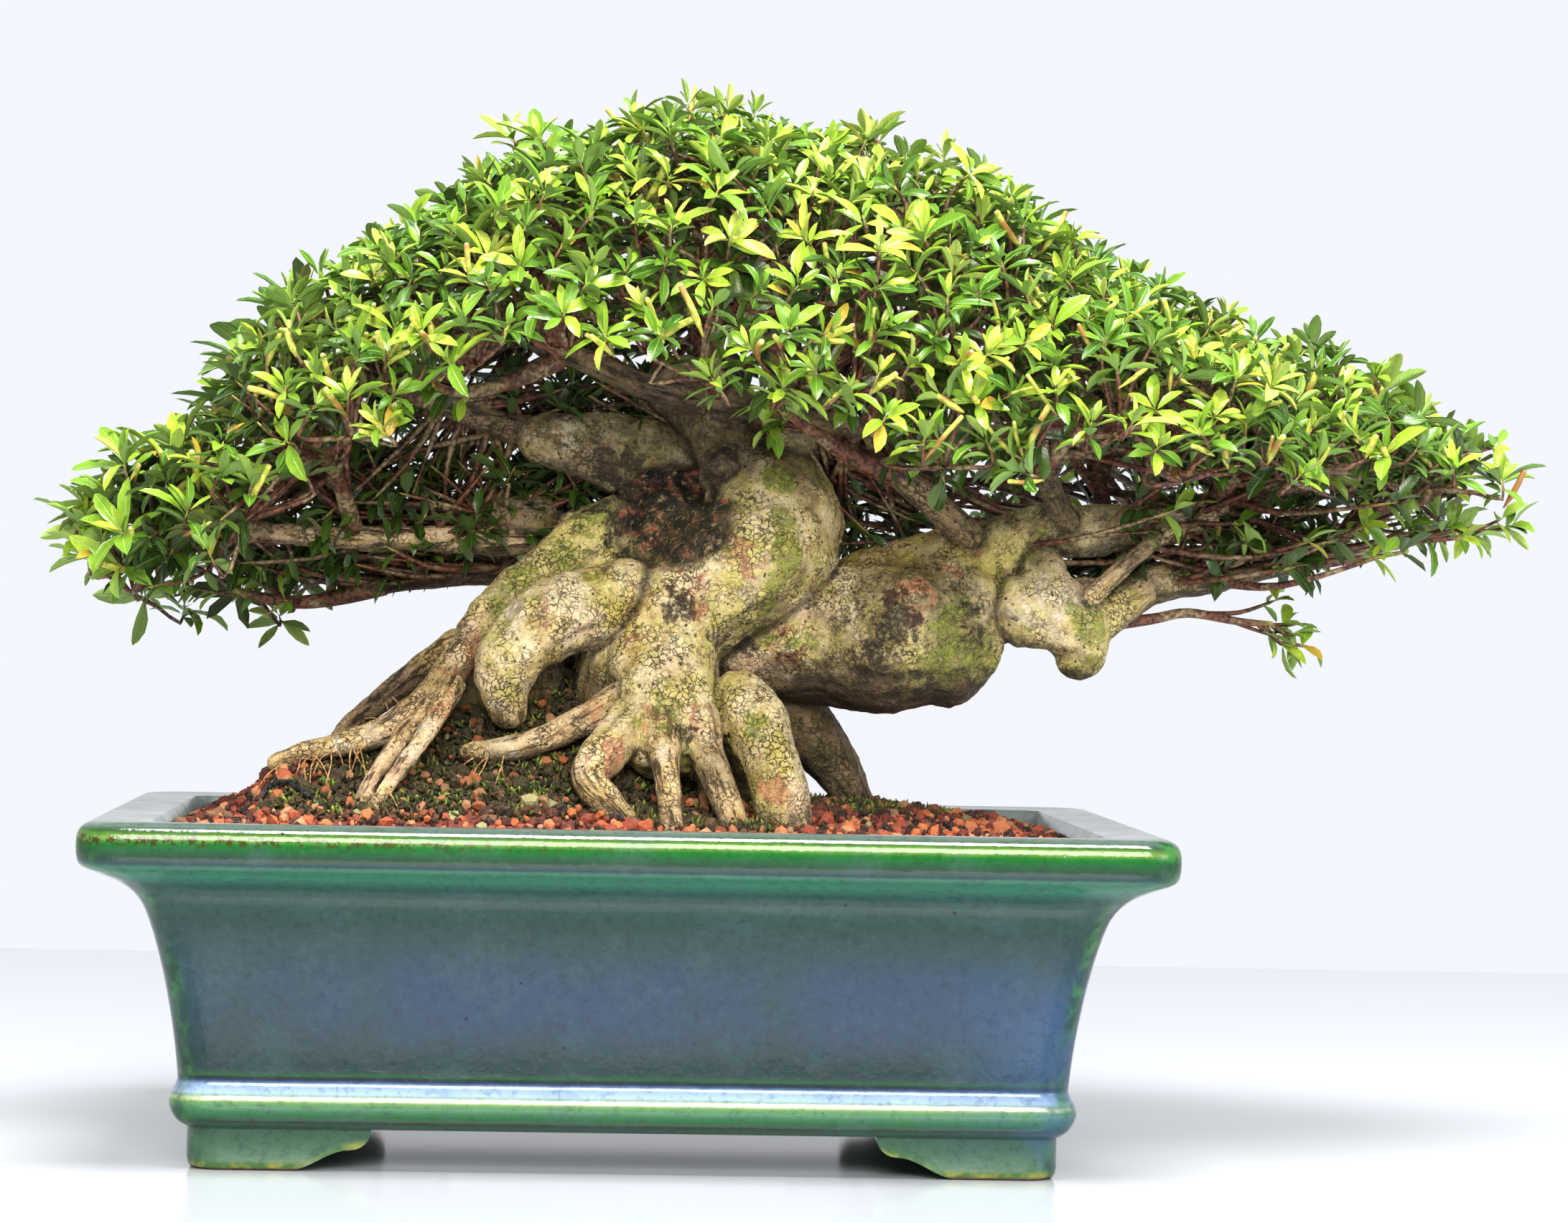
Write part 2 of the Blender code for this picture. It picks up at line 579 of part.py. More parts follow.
def add_blade(bm, low, high, corners):
    """Draw a leaf out of one side of its twig; low and high are that side's corner pairs."""
    left, under, right, upper, tip = [bm.verts.new(corner) for corner in corners]
    bm.faces.new((low[0], low[1], under))
    bm.faces.new((low[1], right, under))
    bm.faces.new((low[1], high[1], right))
    bm.faces.new((high[1], upper, right))
    bm.faces.new((high[1], high[0], upper))
    bm.faces.new((high[0], left, upper))
    bm.faces.new((high[0], low[0], left))
    bm.faces.new((low[0], under, left))
    rim = [left, under, right, upper]
    for i in range(4):
        bm.faces.new((rim[i], rim[(i + 1) % 4], tip))


def crown_outward(place):
    """Which way the crown faces at a place: away from the spine that runs through its foot."""
    top, low, deep = crown_section(min(max(place.x, CROWN_OUTLINE[0][0]), CROWN_OUTLINE[-1][0]))
    across = place.y / max(deep, 1.0) ** 2
    along = (place.x - CROWN_MIDDLE) / 300.0 ** 2
    upward = max(place.z - low, 4.0) / max(top - low, 20.0) ** 2
    return Vector((along, across, upward)).normalized()


def core_axes(name):
    """Axes of a spray's core: along the tree, round the crown, and out through the leaves."""
    out = crown_outward(Vector(SPRAYS[name][1]))
    along = (Vector((1.0, 0.0, 0.0)) - out * out.x).normalized()
    return along, out.cross(along), out


def push_into_cell(point, name):
    """Move a point back inside its own spray's space."""
    own = Vector(SPRAYS[name][1])
    for other_name, (_, core) in SPRAYS.items():
        if other_name != name:
            other = Vector(core)
            way = (other - own).normalized()
            excess = (point - (own + other) / 2).dot(way) + CELL_MARGIN
            if excess > 0.0:
                point = point - way * excess
    return point


def make_core(name, material):
    """A small uneven mass of twigs and inner leaves, which the whorls stand out of."""
    core = Vector(SPRAYS[name][1])
    axes = core_axes(name)
    bm = bmesh.new()
    bmesh.ops.create_icosphere(bm, subdivisions=2, radius=1.0)
    for vert in bm.verts:
        lump = 1.0 + 0.25 * noise.noise(vert.co * 1.7 + core / 37.0)
        place = core.copy()
        for axis, size, share in zip(axes, CORE_RADII, vert.co):
            place += axis * size * share * lump
        vert.co = push_into_cell(place, name)
    return add_object(name, bm, material)


def choose_leaf(name, base, sideways, lean, rng):
    """Lay a leaf outwards; where it would leave its spray's space it is bent up or shortened."""
    length = LEAF_LENGTH * rng.uniform(0.84, 1.12)
    lift = rng.uniform(0.85, 1.15)
    for rise, share in ((0.4, 1.0), (0.75, 1.0), (1.2, 1.0), (0.6, 0.72), (1.2, 0.66)):
        way = (sideways + lean * rise * lift).normalized()
        face = (lean - way * lean.dot(way)).normalized()
        corners = blade_points(base, way, face, length * share)
        if inside_cell(corners, name):
            return corners
    return None


def twig_root(name, tip, out):
    """Where a twig starts: straight in from its tip, and well inside the core."""
    core = Vector(SPRAYS[name][1])
    inward = tip - out * CORE_DEPTH - core
    shares = [inward.dot(axis) / size for axis, size in zip(core_axes(name), CORE_RADII)]
    spread = math.sqrt(sum(share ** 2 for share in shares))
    return core + inward * min(1.0, 0.55 / max(spread, 0.01))


def make_whorl(name, tip, rng):
    """One shoot: a twig out of the core and a whorl of leaves drawn out of its tip."""
    out = crown_outward(tip)
    root = twig_root(name, tip, out)
    lean = (out + (tip - root).normalized() * 0.6 + Vector((0.0, 0.0, 0.45))).normalized()
    across = lean.orthogonal().normalized()
    up = lean.cross(across)
    turn = rng.uniform(0.0, 2 * math.pi)
    angles = [turn + i * 2 * math.pi / LEAVES_A_WHORL for i in range(LEAVES_A_WHORL)]
    spokes = [across * math.cos(angle) + up * math.sin(angle) for angle in angles]
    rings = [[centre + spoke * radius for spoke in spokes]
             for centre, radius in ((root, 3.0), (tip - lean * 2.0, 2.0), (tip, 1.8))]
    rings = [[push_into_cell(point, name) for point in ring] for ring in rings]
    bm = bmesh.new()
    root, low, high = loft(bm, rings[:2], cap_last=False) + [[bm.verts.new(point) for point in rings[2]]]
    bm.faces.new(high)
    for i in range(LEAVES_A_WHORL):
        j = (i + 1) % LEAVES_A_WHORL
        sideways = (spokes[i] + spokes[j]).normalized()
        corners = choose_leaf(name, tip, sideways, lean, rng)
        if corners:
            add_blade(bm, (low[i], low[j]), (high[i], high[j]), corners)
        else:
            bm.faces.new((low[i], low[j], high[j], high[i]))
    return add_object("whorl", bm)


def make_sprays(material, trunk):
    rng = random.Random(SEED)
    homes = {name: [] for name in SPRAYS}
    for site in whorl_sites(rng):
        homes[nearest_spray(site)].append(site)
    for name, sites in homes.items():
        spray = make_core(name, material)
        boolean(spray, "UNION", [make_whorl(name, site, rng) for site in sites], "MANIFOLD")
        boolean(spray, "DIFFERENCE", [fattened_copy(trunk, 0.4)], "MANIFOLD")
        keep_largest_body(spray)


def make_drain_mesh(name, x, material):
    """A square plastic mesh over a drain hole, on the pot's floor."""
    low = FLOOR_TOP + GAP
    plate = box(name, (x - MESH_HALF, -MESH_HALF, low), (x + MESH_HALF, MESH_HALF, low + MESH_THICK))
    plate.data.materials.append(material)
    pitch = (2 * MESH_HALF - MESH_BAR) / MESH_CELLS
    cutters = []
    for column in range(MESH_CELLS):
        for row in range(MESH_CELLS):
            x0 = x - MESH_HALF + MESH_BAR + column * pitch
            y0 = -MESH_HALF + MESH_BAR + row * pitch
            cutters.append(box("cell", (x0, y0, low - 2.0),
                               (x0 + pitch - MESH_BAR, y0 + pitch - MESH_BAR, low + MESH_THICK + 2.0)))
    boolean(plate, "DIFFERENCE", cutters)


def make_clip(name, x, material):
    """Bent wire that lies on a drain mesh, goes down through it and turns out under the pot."""
    top = FLOOR_TOP + GAP + MESH_THICK + GAP + CLIP_RADIUS
    foot = UNDERSIDE - GAP - CLIP_RADIUS
    half = [(CLIP_LEG - 2.0, top), (CLIP_LEG, top - 2.0), (CLIP_LEG, foot + 2.0), (CLIP_LEG + 2.0, foot),
            (CLIP_REACH, foot)]
    outline = [(-across, z) for across, z in reversed(half)] + half
    bm = bmesh.new()
    add_tube(bm, [(x + across, 0.0, z, CLIP_RADIUS) for across, z in outline], 6, 1)
    clip = add_object(name, bm, material)
    shade_round(clip, 60.0)


def make_tie_wire(material):
    """Wire that comes out of the soil, loops low over it and goes back in."""
    route = [(-148, -58, 112, 1.1), (-146, -59, 136, 1.1), (-142, -60, 146, 1.1), (-134, -64, 148, 1.1),
             (-126, -74, 143, 1.1), (-119, -84, 138, 1.1), (-117, -88, 126, 1.1)]
    bm = bmesh.new()
    add_tube(bm, route, 6, 2)
    wire = add_object("tie_wire", bm, material)
    shade_round(wire, 60.0)
    return wire


def stand_on_origin():
    """Move everything so that the origin is at the middle of the foot of the whole box."""
    bpy.context.view_layer.update()
    items = [item for item in bpy.data.objects if item.type == "MESH"]
    corners = [item.matrix_world @ vert.co for item in items for vert in item.data.vertices]
    low = [min(corner[axis] for corner in corners) for axis in range(3)]
    high = [max(corner[axis] for corner in corners) for axis in range(3)]
    stand = bpy.data.objects.new("bonsai_frame", None)
    bpy.context.scene.collection.objects.link(stand)
    for item in items:
        item.parent = stand
    stand.location = (-(low[0] + high[0]) / 2, -(low[1] + high[1]) / 2, -low[2])


def main():
    clear_scene()
    glaze = make_material("glaze", GLAZE)
    brown = make_material("soil", SOIL_BROWN)
    bark = make_material("bark", BARK)
    green = make_material("leaf", LEAF_GREEN)
    black = make_material("mesh", MESH_BLACK)
    grey = make_material("wire", WIRE_GREY)
    make_pot(glaze)
    soil = make_soil(brown)
    trunk = make_trunk(bark)
    wire = make_tie_wire(grey)
    for name, side in (("left", -1), ("right", 1)):
        make_drain_mesh("drain_mesh_" + name, side * DRAIN_X, black)
        make_clip("mesh_clip_" + name, side * DRAIN_X, grey)
    recess = MESH_HALF + GAP
    ceiling = FLOOR_TOP + GAP + MESH_THICK + 2 * GAP + 2 * CLIP_RADIUS + GAP
    recesses = [box("recess", (side * DRAIN_X - recess, -recess, FLOOR_TOP - 5.0),
                    (side * DRAIN_X + recess, recess, ceiling)) for side in (-1, 1)]
    boolean(soil, "DIFFERENCE", recesses + [fattened_copy(wire, GAP), fattened_copy(trunk, GAP)], "MANIFOLD")
    keep_largest_body(soil)
    make_sprays(green, trunk)
    stand_on_origin()


main()
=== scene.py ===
"""The looks of a satsuki azalea bonsai in its glazed pot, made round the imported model."""

import math
import random

import bmesh
import bpy
import numpy as np
from mathutils import Matrix, Vector, noise
from mathutils.bvhtree import BVHTree


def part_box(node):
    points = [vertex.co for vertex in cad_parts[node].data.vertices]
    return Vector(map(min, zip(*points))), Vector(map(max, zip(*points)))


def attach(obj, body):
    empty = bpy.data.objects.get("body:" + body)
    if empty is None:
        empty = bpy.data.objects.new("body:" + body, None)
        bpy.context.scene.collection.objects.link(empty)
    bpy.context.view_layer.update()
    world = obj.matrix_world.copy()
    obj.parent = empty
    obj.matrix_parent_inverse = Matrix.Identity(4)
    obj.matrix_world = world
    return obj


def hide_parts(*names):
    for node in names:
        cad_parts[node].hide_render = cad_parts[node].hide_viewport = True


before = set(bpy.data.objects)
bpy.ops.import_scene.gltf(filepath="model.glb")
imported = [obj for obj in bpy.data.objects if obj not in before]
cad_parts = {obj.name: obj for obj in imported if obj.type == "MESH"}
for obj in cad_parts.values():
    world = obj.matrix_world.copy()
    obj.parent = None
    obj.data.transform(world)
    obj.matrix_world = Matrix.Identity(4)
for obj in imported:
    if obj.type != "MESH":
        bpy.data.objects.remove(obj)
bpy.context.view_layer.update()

MM = 0.001
SEED = 11
HASH_PRIMES = np.array((73856093, 19349663, 83492791))     # they scatter the cells of value_noise
POT_LOW, POT_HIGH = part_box("pot")
ORIGIN = Vector(((POT_LOW.x + POT_HIGH.x) / 2, (POT_LOW.y + POT_HIGH.y) / 2, POT_LOW.z))

# Camera, in metres from the pot's middle, with angles in radians and the focal length in photo pixels.
PHOTO_WIDTH = 2184.0
PHOTO_HEIGHT = 1704.0
CAMERA_PLACE = Vector((-0.0434, -1.8913, 0.2192))
CAMERA_YAW = 0.0565
CAMERA_ROLL = 0.0205
CAMERA_FOCUS = 6430.0

# Pot, in millimetres. Every half width on the long side has a half depth that is RIM_STEP less.
RIM_HALF = 210.0
RIM_STEP = 60.0
POT_HEIGHT = 135.0
CORNER_RADIUS = 13.0
LIP_CORNER = 3.0
FOOT_HALF = 169.0
FOOT_WALL = 14.0
FOOT_TOP = 20.0
UNDERSIDE = 16.5
FLOOR_TOP = 26.0
DRAIN_RADIUS = 12.0
DRAIN_X = 85.0
DRAIN_SIDES = 32
FRONT_OPENING = 97.5
SIDE_OPENING = 48.0
OGEE_STEP = 8.0
OGEE_REACH = 25.0
CUTTER_REACH = 260.0
OUTER_PROFILE = [(170.0, UNDERSIDE), (173.0, 19.0), (175.5, 24.0), (175.5, 28.5), (173.3, 33.0),
                 (172.9, 37.0), (174.9, 54.5), (178.8, 76.5), (183.8, 95.6), (188.0, 105.0),
                 (194.0, 110.8), (201.5, 114.6), (207.2, 117.2), (209.6, 120.4), (RIM_HALF, 128.5),
                 (208.4, 132.6), (205.0, 134.6), (200.0, POT_HEIGHT)]
INNER_PROFILE = [(183.5, 134.2), (179.7, 125.0), (175.0, 104.0), (163.0, FLOOR_TOP)]

# Soil, in millimetres: mounds are (x, y, height, spread left, spread right, spread in depth).
SOIL_MIDDLE = 134.0
SOIL_EDGE_DROP = 7.0
SOIL_MOUNDS = [(-20.0, 8.0, 50.0, 34.0, 32.0, 44.0),
               (-85.0, 0.0, 27.0, 38.0, 38.0, 48.0),
               (-125.0, -5.0, 10.0, 25.0, 25.0, 42.0),
               (-136.0, -42.0, 10.0, 7.0, 12.0, 16.0),
               (84.0, 12.0, 7.0, 26.0, 50.0, 40.0)]
GRAIN_SPACING = 3.6
MOSS_TUFTS = 5000
PEBBLE = (-38.0, -80.0, 4.0)     # x, y and radius of a pale stone in front of the roots
FINE_ROOTS = 46
HAIRY_ROOTS = ("root_a", "root_a", "root_c1", "root_c2", "middle_root", "root_b")

# Trunk, roots and limbs: routes of (x, y, z, radius) in millimetres from the pot's middle.
THICK_LIMBS = {
    "belly": [(13, -16, 205, 20), (33, -13, 229, 30), (51, -9, 245, 34), (60, -7, 260, 28)],
    "belly_back": [(8, 14, 196, 24), (26, 20, 222, 28), (40, 18, 250, 26), (38, 16, 275, 20)],
    "neck": [(50, -4, 258, 23), (46, 4, 275, 21), (31, 14, 293, 20), (24, 20, 308, 18)],
    "upper_left": [(31, 14, 281, 18), (3, 8, 281, 17), (-14, 3, 285, 14), (-38, -4, 288, 10)],
    "right_riser": [(60, -2, 256, 11), (64, -8, 278, 12.5), (66, -9, 296, 11), (69, -8, 313, 8)],
    "dark_knob": [(34, -19, 272, 8), (35, -23, 277, 9)],
    "hollow_fill": [(15, 2, 257, 17), (6, -2, 243, 15)],
    "root_column": [(15, -18, 219, 23), (14, -30, 196, 21.5), (14, -43, 176, 20), (12, -50, 166, 17)],
    "toe_left": [(2, -54, 175, 10), (-9, -66, 163, 8.6), (-16, -74, 152, 7.4), (-8, -81, 142, 6.6),
                 (3, -86, 130, 5)],
    "toe_middle": [(12, -58, 174, 8), (14, -74, 157, 5.6), (16, -85, 140, 5), (17, -92, 126, 4.4)],
    "toe_right": [(27, -50, 174, 9), (33, -62, 157, 7), (39, -71, 142, 6), (44, -78, 128, 5)],
    "stub_root": [(44, -35, 185, 11.5), (51, -46, 172, 13.2), (57, -56, 157, 11.6),
                  (62, -64, 139, 10), (64, -68, 126, 8)],
    "elbow": [(2, -20, 224, 17), (-23, -32, 218, 15.5), (-41, -40, 207, 14.6), (-50, -42, 191, 12),
              (-48, -40, 176, 7.5)],
    "slope": [(-4, -2, 256, 10), (-24, -6, 243, 10.5), (-47, -14, 223, 10), (-64, -20, 207, 8.5)],
    "slope_body": [(0, 4, 240, 17), (-28, 2, 222, 18), (-50, 4, 200, 17), (-60, 4, 180, 14)],
    "root_a": [(-62, -18, 208, 8), (-77, -32, 186, 6.4), (-95, -41, 170, 5.8), (-113, -45, 163, 5),
               (-128, -45, 159.5, 4.4), (-141, -45, 154.5, 3.6)],
    "root_b": [(-70, -8, 203, 7), (-82, -4, 195, 5.8), (-96, 4, 183, 5.2), (-113, 10, 169, 4.4),
               (-121, 12, 158, 3.6)],
    "root_c1": [(-80, -36, 180, 5), (-94, -58, 161, 3.8), (-104, -74, 144, 3.3), (-108, -82, 132, 3)],
    "root_c2": [(-70, -36, 187, 5), (-82, -62, 166, 3.8), (-97, -79, 144, 3.2), (-103, -86, 131, 3)],
    "middle_root": [(0, -38, 186, 7), (-13, -46, 177, 6.3), (-24, -50, 171, 6), (-40, -52, 164, 5.4),
                    (-54, -51, 161.5, 5), (-64, -50, 160, 4.2)],
    "dark_root": [(60, 14, 188, 13), (73, 20, 173, 12), (86, 26, 158, 10), (98, 30, 140, 7)],
    "root_base": [(10, -6, 200, 30), (4, 0, 170, 30), (0, 4, 140, 22)],
    "left_base": [(-40, -6, 195, 16), (-46, -4, 172, 16), (-50, 0, 150, 12)],
    "back_root_a": [(0, 26, 200, 16), (-24, 46, 178, 12), (-46, 66, 156, 8), (-60, 80, 136, 5.5)],
    "back_root_b": [(28, 30, 194, 16), (42, 54, 168, 11), (52, 74, 148, 8), (58, 88, 128, 5.5)],
    "back_root_c": [(-34, 16, 202, 14), (-64, 34, 180, 9), (-92, 46, 160, 6.5), (-112, 52, 142, 4.5)],
    "right_limb": [(36, 6, 216, 27), (64, 4, 212, 29), (92, -2, 211, 30.5), (116, -8, 210, 31),
                   (130, -10, 208, 25)],
    "limb_belly": [(112, -8, 203, 20), (131, -12, 199, 17)],
    "limb_top": [(92, 2, 226, 17), (124, -3, 236, 18), (146, -6, 244, 15.5), (166, -8, 253, 11),
                 (196, -8, 256, 9.5), (224, -6, 259, 7.7), (242, -4, 267, 5.4)],
    "limb_bump": [(112, -28, 226, 11), (115, -31, 224, 11)],
    "mossy_bulge": [(138, -12, 226, 17), (136, -14, 206, 17)],
    "pale_knob": [(150, -11, 221, 14.5), (166, -15, 222, 15.5), (178, -17, 219, 14.5), (184, -17, 208, 12),
                  (184, -16, 202, 9.5)],
    "knob_bridge": [(184, -14, 213, 11), (196, -9, 222, 9.6), (210, -4, 230, 8.6)],
    "knob_neck": [(166, -10, 246, 9), (168, -14, 232, 11)],
    "right_arm": [(180, -8, 222, 12), (202, -4, 227, 9.6), (220, 0, 235, 8.4), (241, 4, 237, 7),
                  (264, 8, 242, 5.6), (288, 10, 246, 4.2)],
    "arch_left": [(29, 4, 305, 8), (15, -14, 307, 5.6), (-2, -24, 311, 5.2), (-18, -30, 318, 5),
                  (-31, -34, 321, 4.4)],
    "arch_right": [(32, 0, 305, 8), (48, -14, 302, 5.6), (73, -27, 296, 5), (94, -36, 294, 4.2)],
    "left_pale": [(-8, 12, 252, 11), (-30, 13, 249, 8), (-52, 10, 246, 6.6), (-82, 4, 246, 5.4),
                  (-117, -2, 246, 4.8), (-146, -6, 247, 4)],
    "left_dark": [(-8, 20, 248, 11), (-30, 25, 241, 8.6), (-52, 30, 235, 6.6), (-74, 34, 232, 5.6),
                  (-104, 38, 227, 4.4)],
    "left_burl": [(-38, 14, 253, 11), (-54, 13, 255, 10), (-65, 10, 254, 7.5)],
    "left_upper": [(-27, 8, 288, 9), (-53, 4, 293, 6), (-77, -4, 301, 4.8)],
    "red_branch_a": [(146, -10, 243, 8), (125, -22, 262, 6.2), (107, -30, 275, 5.4)],
    "red_branch_b": [(178, -14, 257, 5.5), (166, -26, 279, 4.4)],
    "pale_branch": [(182, -22, 222, 5), (194, -23, 234, 4), (208, -21, 247, 3.7), (221, -15, 256, 3.7)],
}
TRUNK_VOXEL = 1.55
TRUNK_TRIANGLES = 185000
LIMB_SIDES = 16
END_ROUNDING = [(0.45, 0.86), (0.8, 1.6)]     # reach past a limb's end and radius, as shares of its radius

# Limbs with a cleft between them and their neighbours. Limbs of one group melt together.
CLEFT_GROUPS = [("belly", "belly_back", "neck", "hollow_fill", "root_column", "root_base"),
                ("elbow",), ("slope", "slope_body", "left_base"), ("stub_root",),
                ("right_limb", "limb_belly", "limb_top", "mossy_bulge", "limb_bump"),
                ("pale_knob", "knob_neck", "knob_bridge"), ("left_burl",), ("right_riser",), ("upper_left",),
                ("dark_knob",), ("pale_branch",), ("right_arm",), ("root_a",), ("root_b",), ("middle_root",)]

# Branches that carry the sprays: name of spray, fork on the trunk, middle of the spray's core.
SPRAYS = {
    "spray_left_tip": [(-146, -6, 247), (-186, -4, 250)],
    "spray_left_low_front": [(-112, -4, 247), (-128, -58, 278)],
    "spray_left_low_back": [(-100, 37, 228), (-130, 62, 276)],
    "spray_left_upper": [(-75, -3, 300), (-104, 0, 326)],
    "spray_front_left": [(-30, -33, 320), (-48, -84, 334)],
    "spray_front_middle": [(34, -8, 305), (36, -98, 350)],
    "spray_front_right": [(93, -36, 294), (118, -90, 334)],
    "spray_front_far_right": [(166, -26, 279), (190, -66, 305)],
    "spray_back_left": [(10, 24, 306), (-48, 84, 334)],
    "spray_back_middle": [(26, 26, 306), (36, 98, 350)],
    "spray_back_right": [(66, 2, 306), (118, 90, 334)],
    "spray_back_far_right": [(196, -4, 256), (192, 66, 305)],
    "spray_top_left": [(16, 16, 312), (-36, 0, 384)],
    "spray_apex": [(26, 18, 312), (44, 0, 400)],
    "spray_top_right": [(69, -8, 312), (124, 0, 382)],
    "spray_right_upper": [(214, -6, 258), (208, 0, 328)],
    "spray_right_front": [(236, -5, 264), (268, -42, 290)],
    "spray_right_back": [(244, 5, 237), (272, 42, 284)],
    "spray_right_tip": [(286, 10, 246), (326, 0, 270)],
}
FORK_RADIUS = 4.2
TWIG_END_RADIUS = 2.2

# Thin ends of the limbs, which only carry twigs and leaves.
LIMB_ENDS = [
    [(213, -6, 260, 7.1), (242, -4, 268, 4.7), (272, -2, 274, 3.6), (306, 0, 282, 2.7), (328, 0, 284, 1.6)],
    [(284, 10, 245, 4.4), (305, 11, 250, 3.2), (325, 12, 254, 2.4), (345, 10, 260, 1.4)],
    [(190, 0, 216, 3.6), (214, -2, 219, 2.3), (230, -4, 222, 2.0), (250, -6, 219, 1.6), (266, -6, 218, 1.1)],
    [(-74, -3, 300, 5.0), (-100, -10, 307, 3.2), (-122, -14, 316, 2.0), (-140, -20, 318, 1.3)],
    [(-98, 37, 228, 4.8), (-122, 42, 221, 3.4), (-142, 42, 219, 2.6), (-166, 40, 224, 1.6)],
    [(-142, -5, 247, 4.2), (-168, -8, 246, 3.1), (-194, -6, 250, 2.2), (-212, -4, 254, 1.4)],
    [(110, -29, 274, 5.6), (89, -38, 281, 3.8), (70, -50, 292, 2.6), (56, -64, 300, 1.6)],
    [(167, -25, 278, 4.6), (160, -32, 294, 2.9), (150, -46, 306, 1.8)],
    [(-28, -33, 320, 4.6), (-50, -40, 309, 3.2), (-68, -50, 304, 2.4), (-84, -62, 306, 1.5)],
    [(92, -35, 294, 4.2), (112, -44, 290, 3.0), (132, -58, 288, 2.0)],
]

# Crown: (x, height of the top, height of the lower edge) in millimetres, from tip to tip.
CROWN_OUTLINE = [(-229, 257, 252), (-206, 284, 228), (-183, 297, 222), (-148, 346, 228), (-118, 362, 244),
                 (-74, 394, 260), (-50, 411, 274), (8, 423, 300), (36, 427, 302), (90, 418, 290),
                 (138, 403, 272), (179, 375, 268), (217, 356, 262), (273, 338, 252), (320, 316, 244),
                 (349, 302, 252), (375, 272, 268)]
CROWN_MIDDLE = 60.0
CROWN_HALF_DEPTH = 150.0

# Lower edge of the leaves as seen in the photo, from left to right, in photo pixels. Whorls that
# would hang below it are thinned out, more so at the front.
CROWN_SKIRT = [(60, 700), (100, 812), (270, 826), (340, 780), (385, 660), (520, 640), (560, 570),
               (640, 525), (714, 480), (810, 488), (893, 522), (1050, 556), (1150, 590), (1214, 612),
               (1245, 680), (1430, 695), (1450, 640), (1560, 650), (1620, 680), (1850, 705), (2000, 700),
               (2100, 700), (2184, 690)]

# Marks on the trunk: photo pixel, radius in photo pixels, strength. A mark lies where the line of
# sight through its pixel meets the bark.
TRUNK_MARKS = {
    "moss": [(1087, 670, 18, 0.9), (1091, 768, 20, 1.0), (1073, 839, 20, 0.9), (1092, 720, 18, 1.0),
             (1084, 805, 18, 0.9), (1060, 880, 22, 0.7), (814, 723, 34, 0.8), (770, 770, 34, 0.8),
             (725, 808, 32, 0.8), (690, 850, 24, 0.6), (935, 982, 30, 0.45), (1348, 918, 60, 1.0),
             (1303, 945, 40, 0.9), (1402, 775, 44, 0.8), (1518, 873, 26, 0.9), (1504, 936, 26, 0.9),
             (1051, 1013, 20, 0.6), (685, 870, 26, 0.6), (837, 808, 26, 0.7), (960, 1060, 26, 0.8),
             (905, 1000, 26, 0.7), (1130, 890, 26, 0.6)],
    # Black stains, and painted shade along the right limb's lower edge.
    "stain_and_shade": [(828, 687, 28, 1.0), (997, 650, 26, 1.0), (939, 848, 22, 0.8), (997, 888, 22, 0.9),
              (1254, 873, 34, 0.9), (1277, 887, 26, 0.8), (1196, 927, 24, 0.8), (1241, 954, 38, 0.9),
              (1290, 971, 34, 0.9), (1357, 855, 28, 0.8), (1527, 797, 20, 0.9), (970, 1040, 26, 0.7),
              (1110, 960, 24, 0.7), (1160, 800, 16, 0.8), (1120, 850, 16, 0.8), (1040, 905, 18, 0.8),
              (1515, 741, 12, 1.0), (1450, 905, 24, 0.6), (1420, 800, 16, 0.8),
              (1385, 890, 26, 0.8), (1340, 980, 40, 0.9), (860, 730, 26, 1.0), (845, 655, 30, 0.9),
              (880, 640, 22, 0.7), (880, 768, 28, 1.0), (838, 702, 32, 1.0), (908, 782, 20, 0.9),
              (860, 690, 26, 1.0), (1095, 905, 22, 0.7), (1180, 975, 30, 0.7), (1215, 915, 24, 0.7)],
    "rust": [(850, 1053, 24, 0.8), (658, 893, 22, 0.7), (823, 995, 26, 0.7), (1073, 1102, 20, 0.9),
             (1098, 909, 24, 0.8), (1272, 837, 42, 0.6), (1330, 797, 14, 0.9), (1357, 773, 12, 0.9),
             (1002, 777, 40, 0.6), (756, 848, 30, 0.4), (1574, 699, 22, 1.0),
             (640, 930, 26, 0.8), (615, 985, 24, 0.7), (900, 1010, 24, 0.6), (980, 1000, 20, 0.6),
             (960, 820, 40, 0.4), (880, 860, 40, 0.3)],
    # Painted shade on the neck under the crown and on the right limb, where it also darkens the bark's brown.
    "shade": [(1200, 860, 80, 0.8), (1290, 810, 60, 0.9), (1330, 890, 60, 0.8), (1180, 920, 60, 0.8),
              (1150, 960, 50, 0.8), (1400, 720, 60, 0.6), (1480, 740, 60, 0.9), (1560, 730, 50, 0.9),
              (900, 600, 70, 0.9), (960, 610, 60, 0.9), (1020, 600, 60, 0.8), (800, 600, 60, 0.7),
              (850, 650, 40, 0.8), (1110, 640, 40, 0.6), (1010, 1060, 40, 0.5), (860, 1060, 40, 0.4)],
    "pale": [(770, 610, 34, 0.8), (1464, 842, 46, 0.9), (703, 1040, 16, 1.0), (690, 1043, 14, 1.0),
             (590, 1010, 14, 0.9), (575, 1048, 14, 0.9), (470, 1040, 16, 0.8), (520, 1020, 16, 0.6),
             (921, 1053, 20, 0.8), (1051, 1013, 22, 0.6), (756, 848, 40, 0.5), (1040, 800, 30, 0.4),
             (1180, 850, 34, 0.4), (1640, 720, 26, 0.6)],
}
